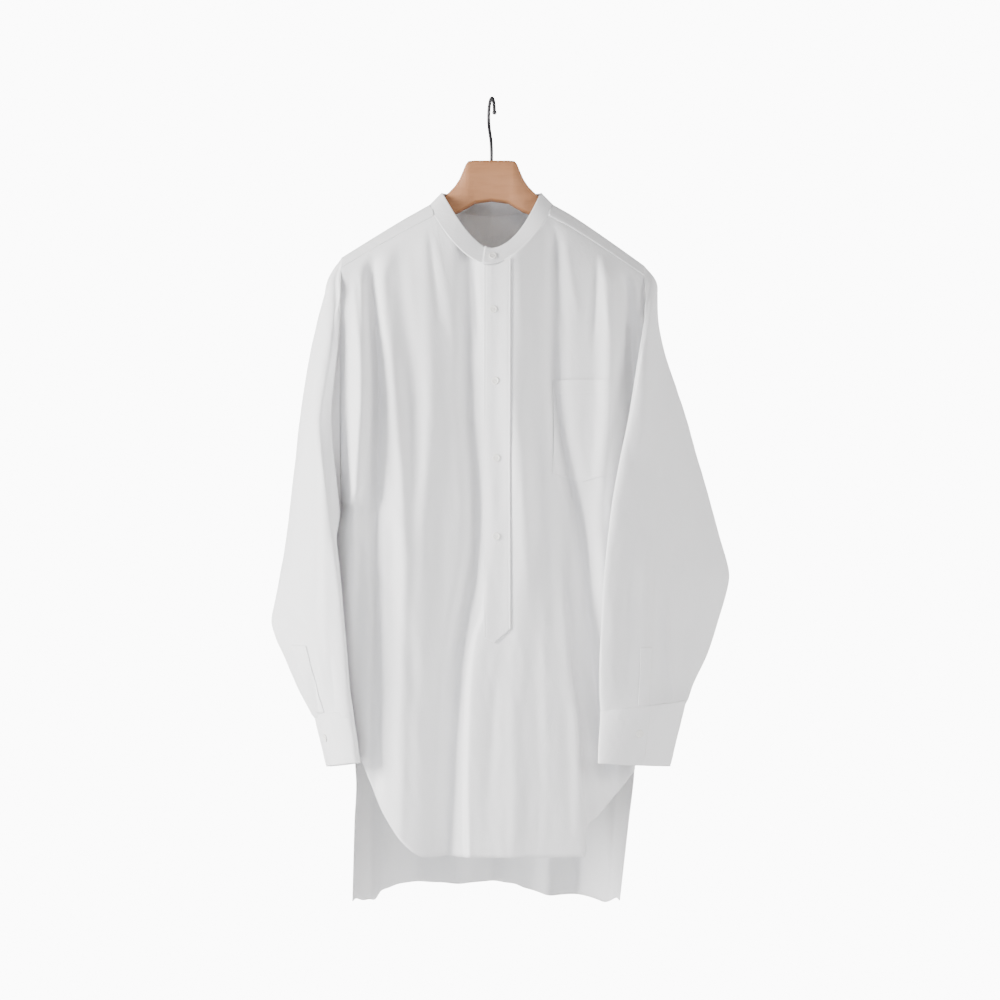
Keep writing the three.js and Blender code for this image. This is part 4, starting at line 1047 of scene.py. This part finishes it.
def hangerRing(x, top, bottom, half, crown):
    across = np.sin(np.linspace(-1, 1, 17) * math.pi / 2)
    y = across * half
    corner = hanger["corner"] * np.abs(across) ** 6
    clothDrop = -frontFall["over"] * np.log(1 - (y / frontFall["reach"]) ** 2)
    upper = top - mix(corner, clothDrop * 1.12 + np.abs(y) * 0.12, crown)
    lower = bottom + corner
    ring = list(zip(y, upper)) + list(zip(y[::-1], lower[::-1]))
    return [(x, *place) for place in ring + ring[:1]]


half = {key: resampled([row[key] for row in hangerRows], hanger["between"]) for key in hangerRows[0]}
rings = [hangerRing(*values) for values in zip(*half.values())]
otherRings = [[(-x, y, z) for x, y, z in ring] for ring in rings[1:]][::-1]
hangerGrid = np.array(otherRings + rings, float)

woodLook = {
    "pale": (0.42, 0.195, 0.088, 1), "dark": (0.32, 0.135, 0.055, 1), "roughness": 0.55,
    "stretch": (8, 60, 60), "grain": {"Scale": 3.0, "Detail": 5.0, "Distortion": 0.8},
}
wireLook = {"Base Color": (0.02, 0.02, 0.022, 1), "Roughness": 0.35, "Specular IOR Level": 0.6}


def beechMaterial():
    material, nodes, links = newMaterial("beechWood")
    wood = setInputs(nodes["Principled BSDF"], {"Roughness": woodLook["roughness"]})
    where = nodes.new("ShaderNodeTexCoord")
    stretch = setInputs(nodes.new("ShaderNodeMapping"), {"Scale": woodLook["stretch"]})
    grain = setInputs(nodes.new("ShaderNodeTexNoise"), woodLook["grain"])
    ramp = nodes.new("ShaderNodeMix")
    ramp.data_type = "RGBA"
    ramp.inputs["A"].default_value = woodLook["pale"]
    ramp.inputs["B"].default_value = woodLook["dark"]
    links.new(where.outputs["Object"], stretch.inputs["Vector"])
    links.new(stretch.outputs["Vector"], grain.inputs["Vector"])
    links.new(grain.outputs["Fac"], ramp.inputs["Factor"])
    links.new(ramp.outputs["Result"], wood.inputs["Base Color"])
    return material


def closedPiece(name, grid, material, replaced):
    mesh, _ = gridMesh(grid)
    bmesh.ops.remove_doubles(mesh, verts=mesh.verts, dist=0.00001)
    bmesh.ops.holes_fill(mesh, edges=[edge for edge in mesh.edges if edge.is_boundary], sides=0)
    bmesh.ops.recalc_face_normals(mesh, faces=mesh.faces)
    piece = finishedPiece(name, mesh, material)
    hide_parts(replaced)


woodMaterial = beechMaterial()
wireMaterial = plainMaterial("blackWire", wireLook)
closedPiece("wooden_hanger", hangerGrid, woodMaterial, "hanger")

hook = {"radius": 22, "wire": 2.2, "foot": -79.1, "tip": 3.0, "turn": 10, "steps": 120, "sides": 20}
lead = [(0, 0, hook["foot"]), (0, 0, -66), (0, 4, -52), (0, 14, -39)]
turns = np.radians(np.linspace(-20, 174, 15))
middleZ = hook["wire"] - hook["radius"]
arc = [(0, hook["radius"] * math.cos(turn), middleZ + hook["radius"] * math.sin(turn)) for turn in turns]
knots = np.array(lead + arc, float)
spacing = np.r_[0, np.cumsum(np.linalg.norm(np.diff(knots, axis=0), axis=1))]
lengths = np.linspace(0, spacing[-1], hook["steps"])
wireRows = table("z forward up", zip(-spacing, knots[:, 1], knots[:, 2]))
forward = readAt(wireRows, "forward", -lengths)
turned = math.radians(hook["turn"])
up = readAt(wireRows, "up", -lengths)
wirePath = np.stack([-math.sin(turned) * forward, math.cos(turned) * forward, up], axis=-1)
along = np.gradient(wirePath, axis=0)
along /= np.linalg.norm(along, axis=1, keepdims=True)
sideways = np.array([math.cos(turned), math.sin(turned), 0])
upward = np.cross(along, sideways)
around = np.radians(np.linspace(0, 360, hook["sides"] + 1))
hookGrid = (
    wirePath[:, None] + hook["wire"] * np.cos(around)[None, :, None] * sideways
    + hook["wire"] * np.sin(around)[None, :, None] * upward[:, None])
closedPiece("wire_hook", hookGrid, wireMaterial, "hook")

tipMesh = bmesh.new()
tipPlace = wirePath[-1] + along[-1] * (hook["tip"] - 0.5)
bmesh.ops.create_uvsphere(tipMesh, u_segments=32, v_segments=20, radius=hook["tip"] * mm)
bmesh.ops.translate(tipMesh, verts=tipMesh.verts, vec=Vector(tipPlace) * mm)
tip = finishedPiece("wire_tip", tipMesh, wireMaterial)
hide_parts("hook_tip")
print("hanger and hook are made")
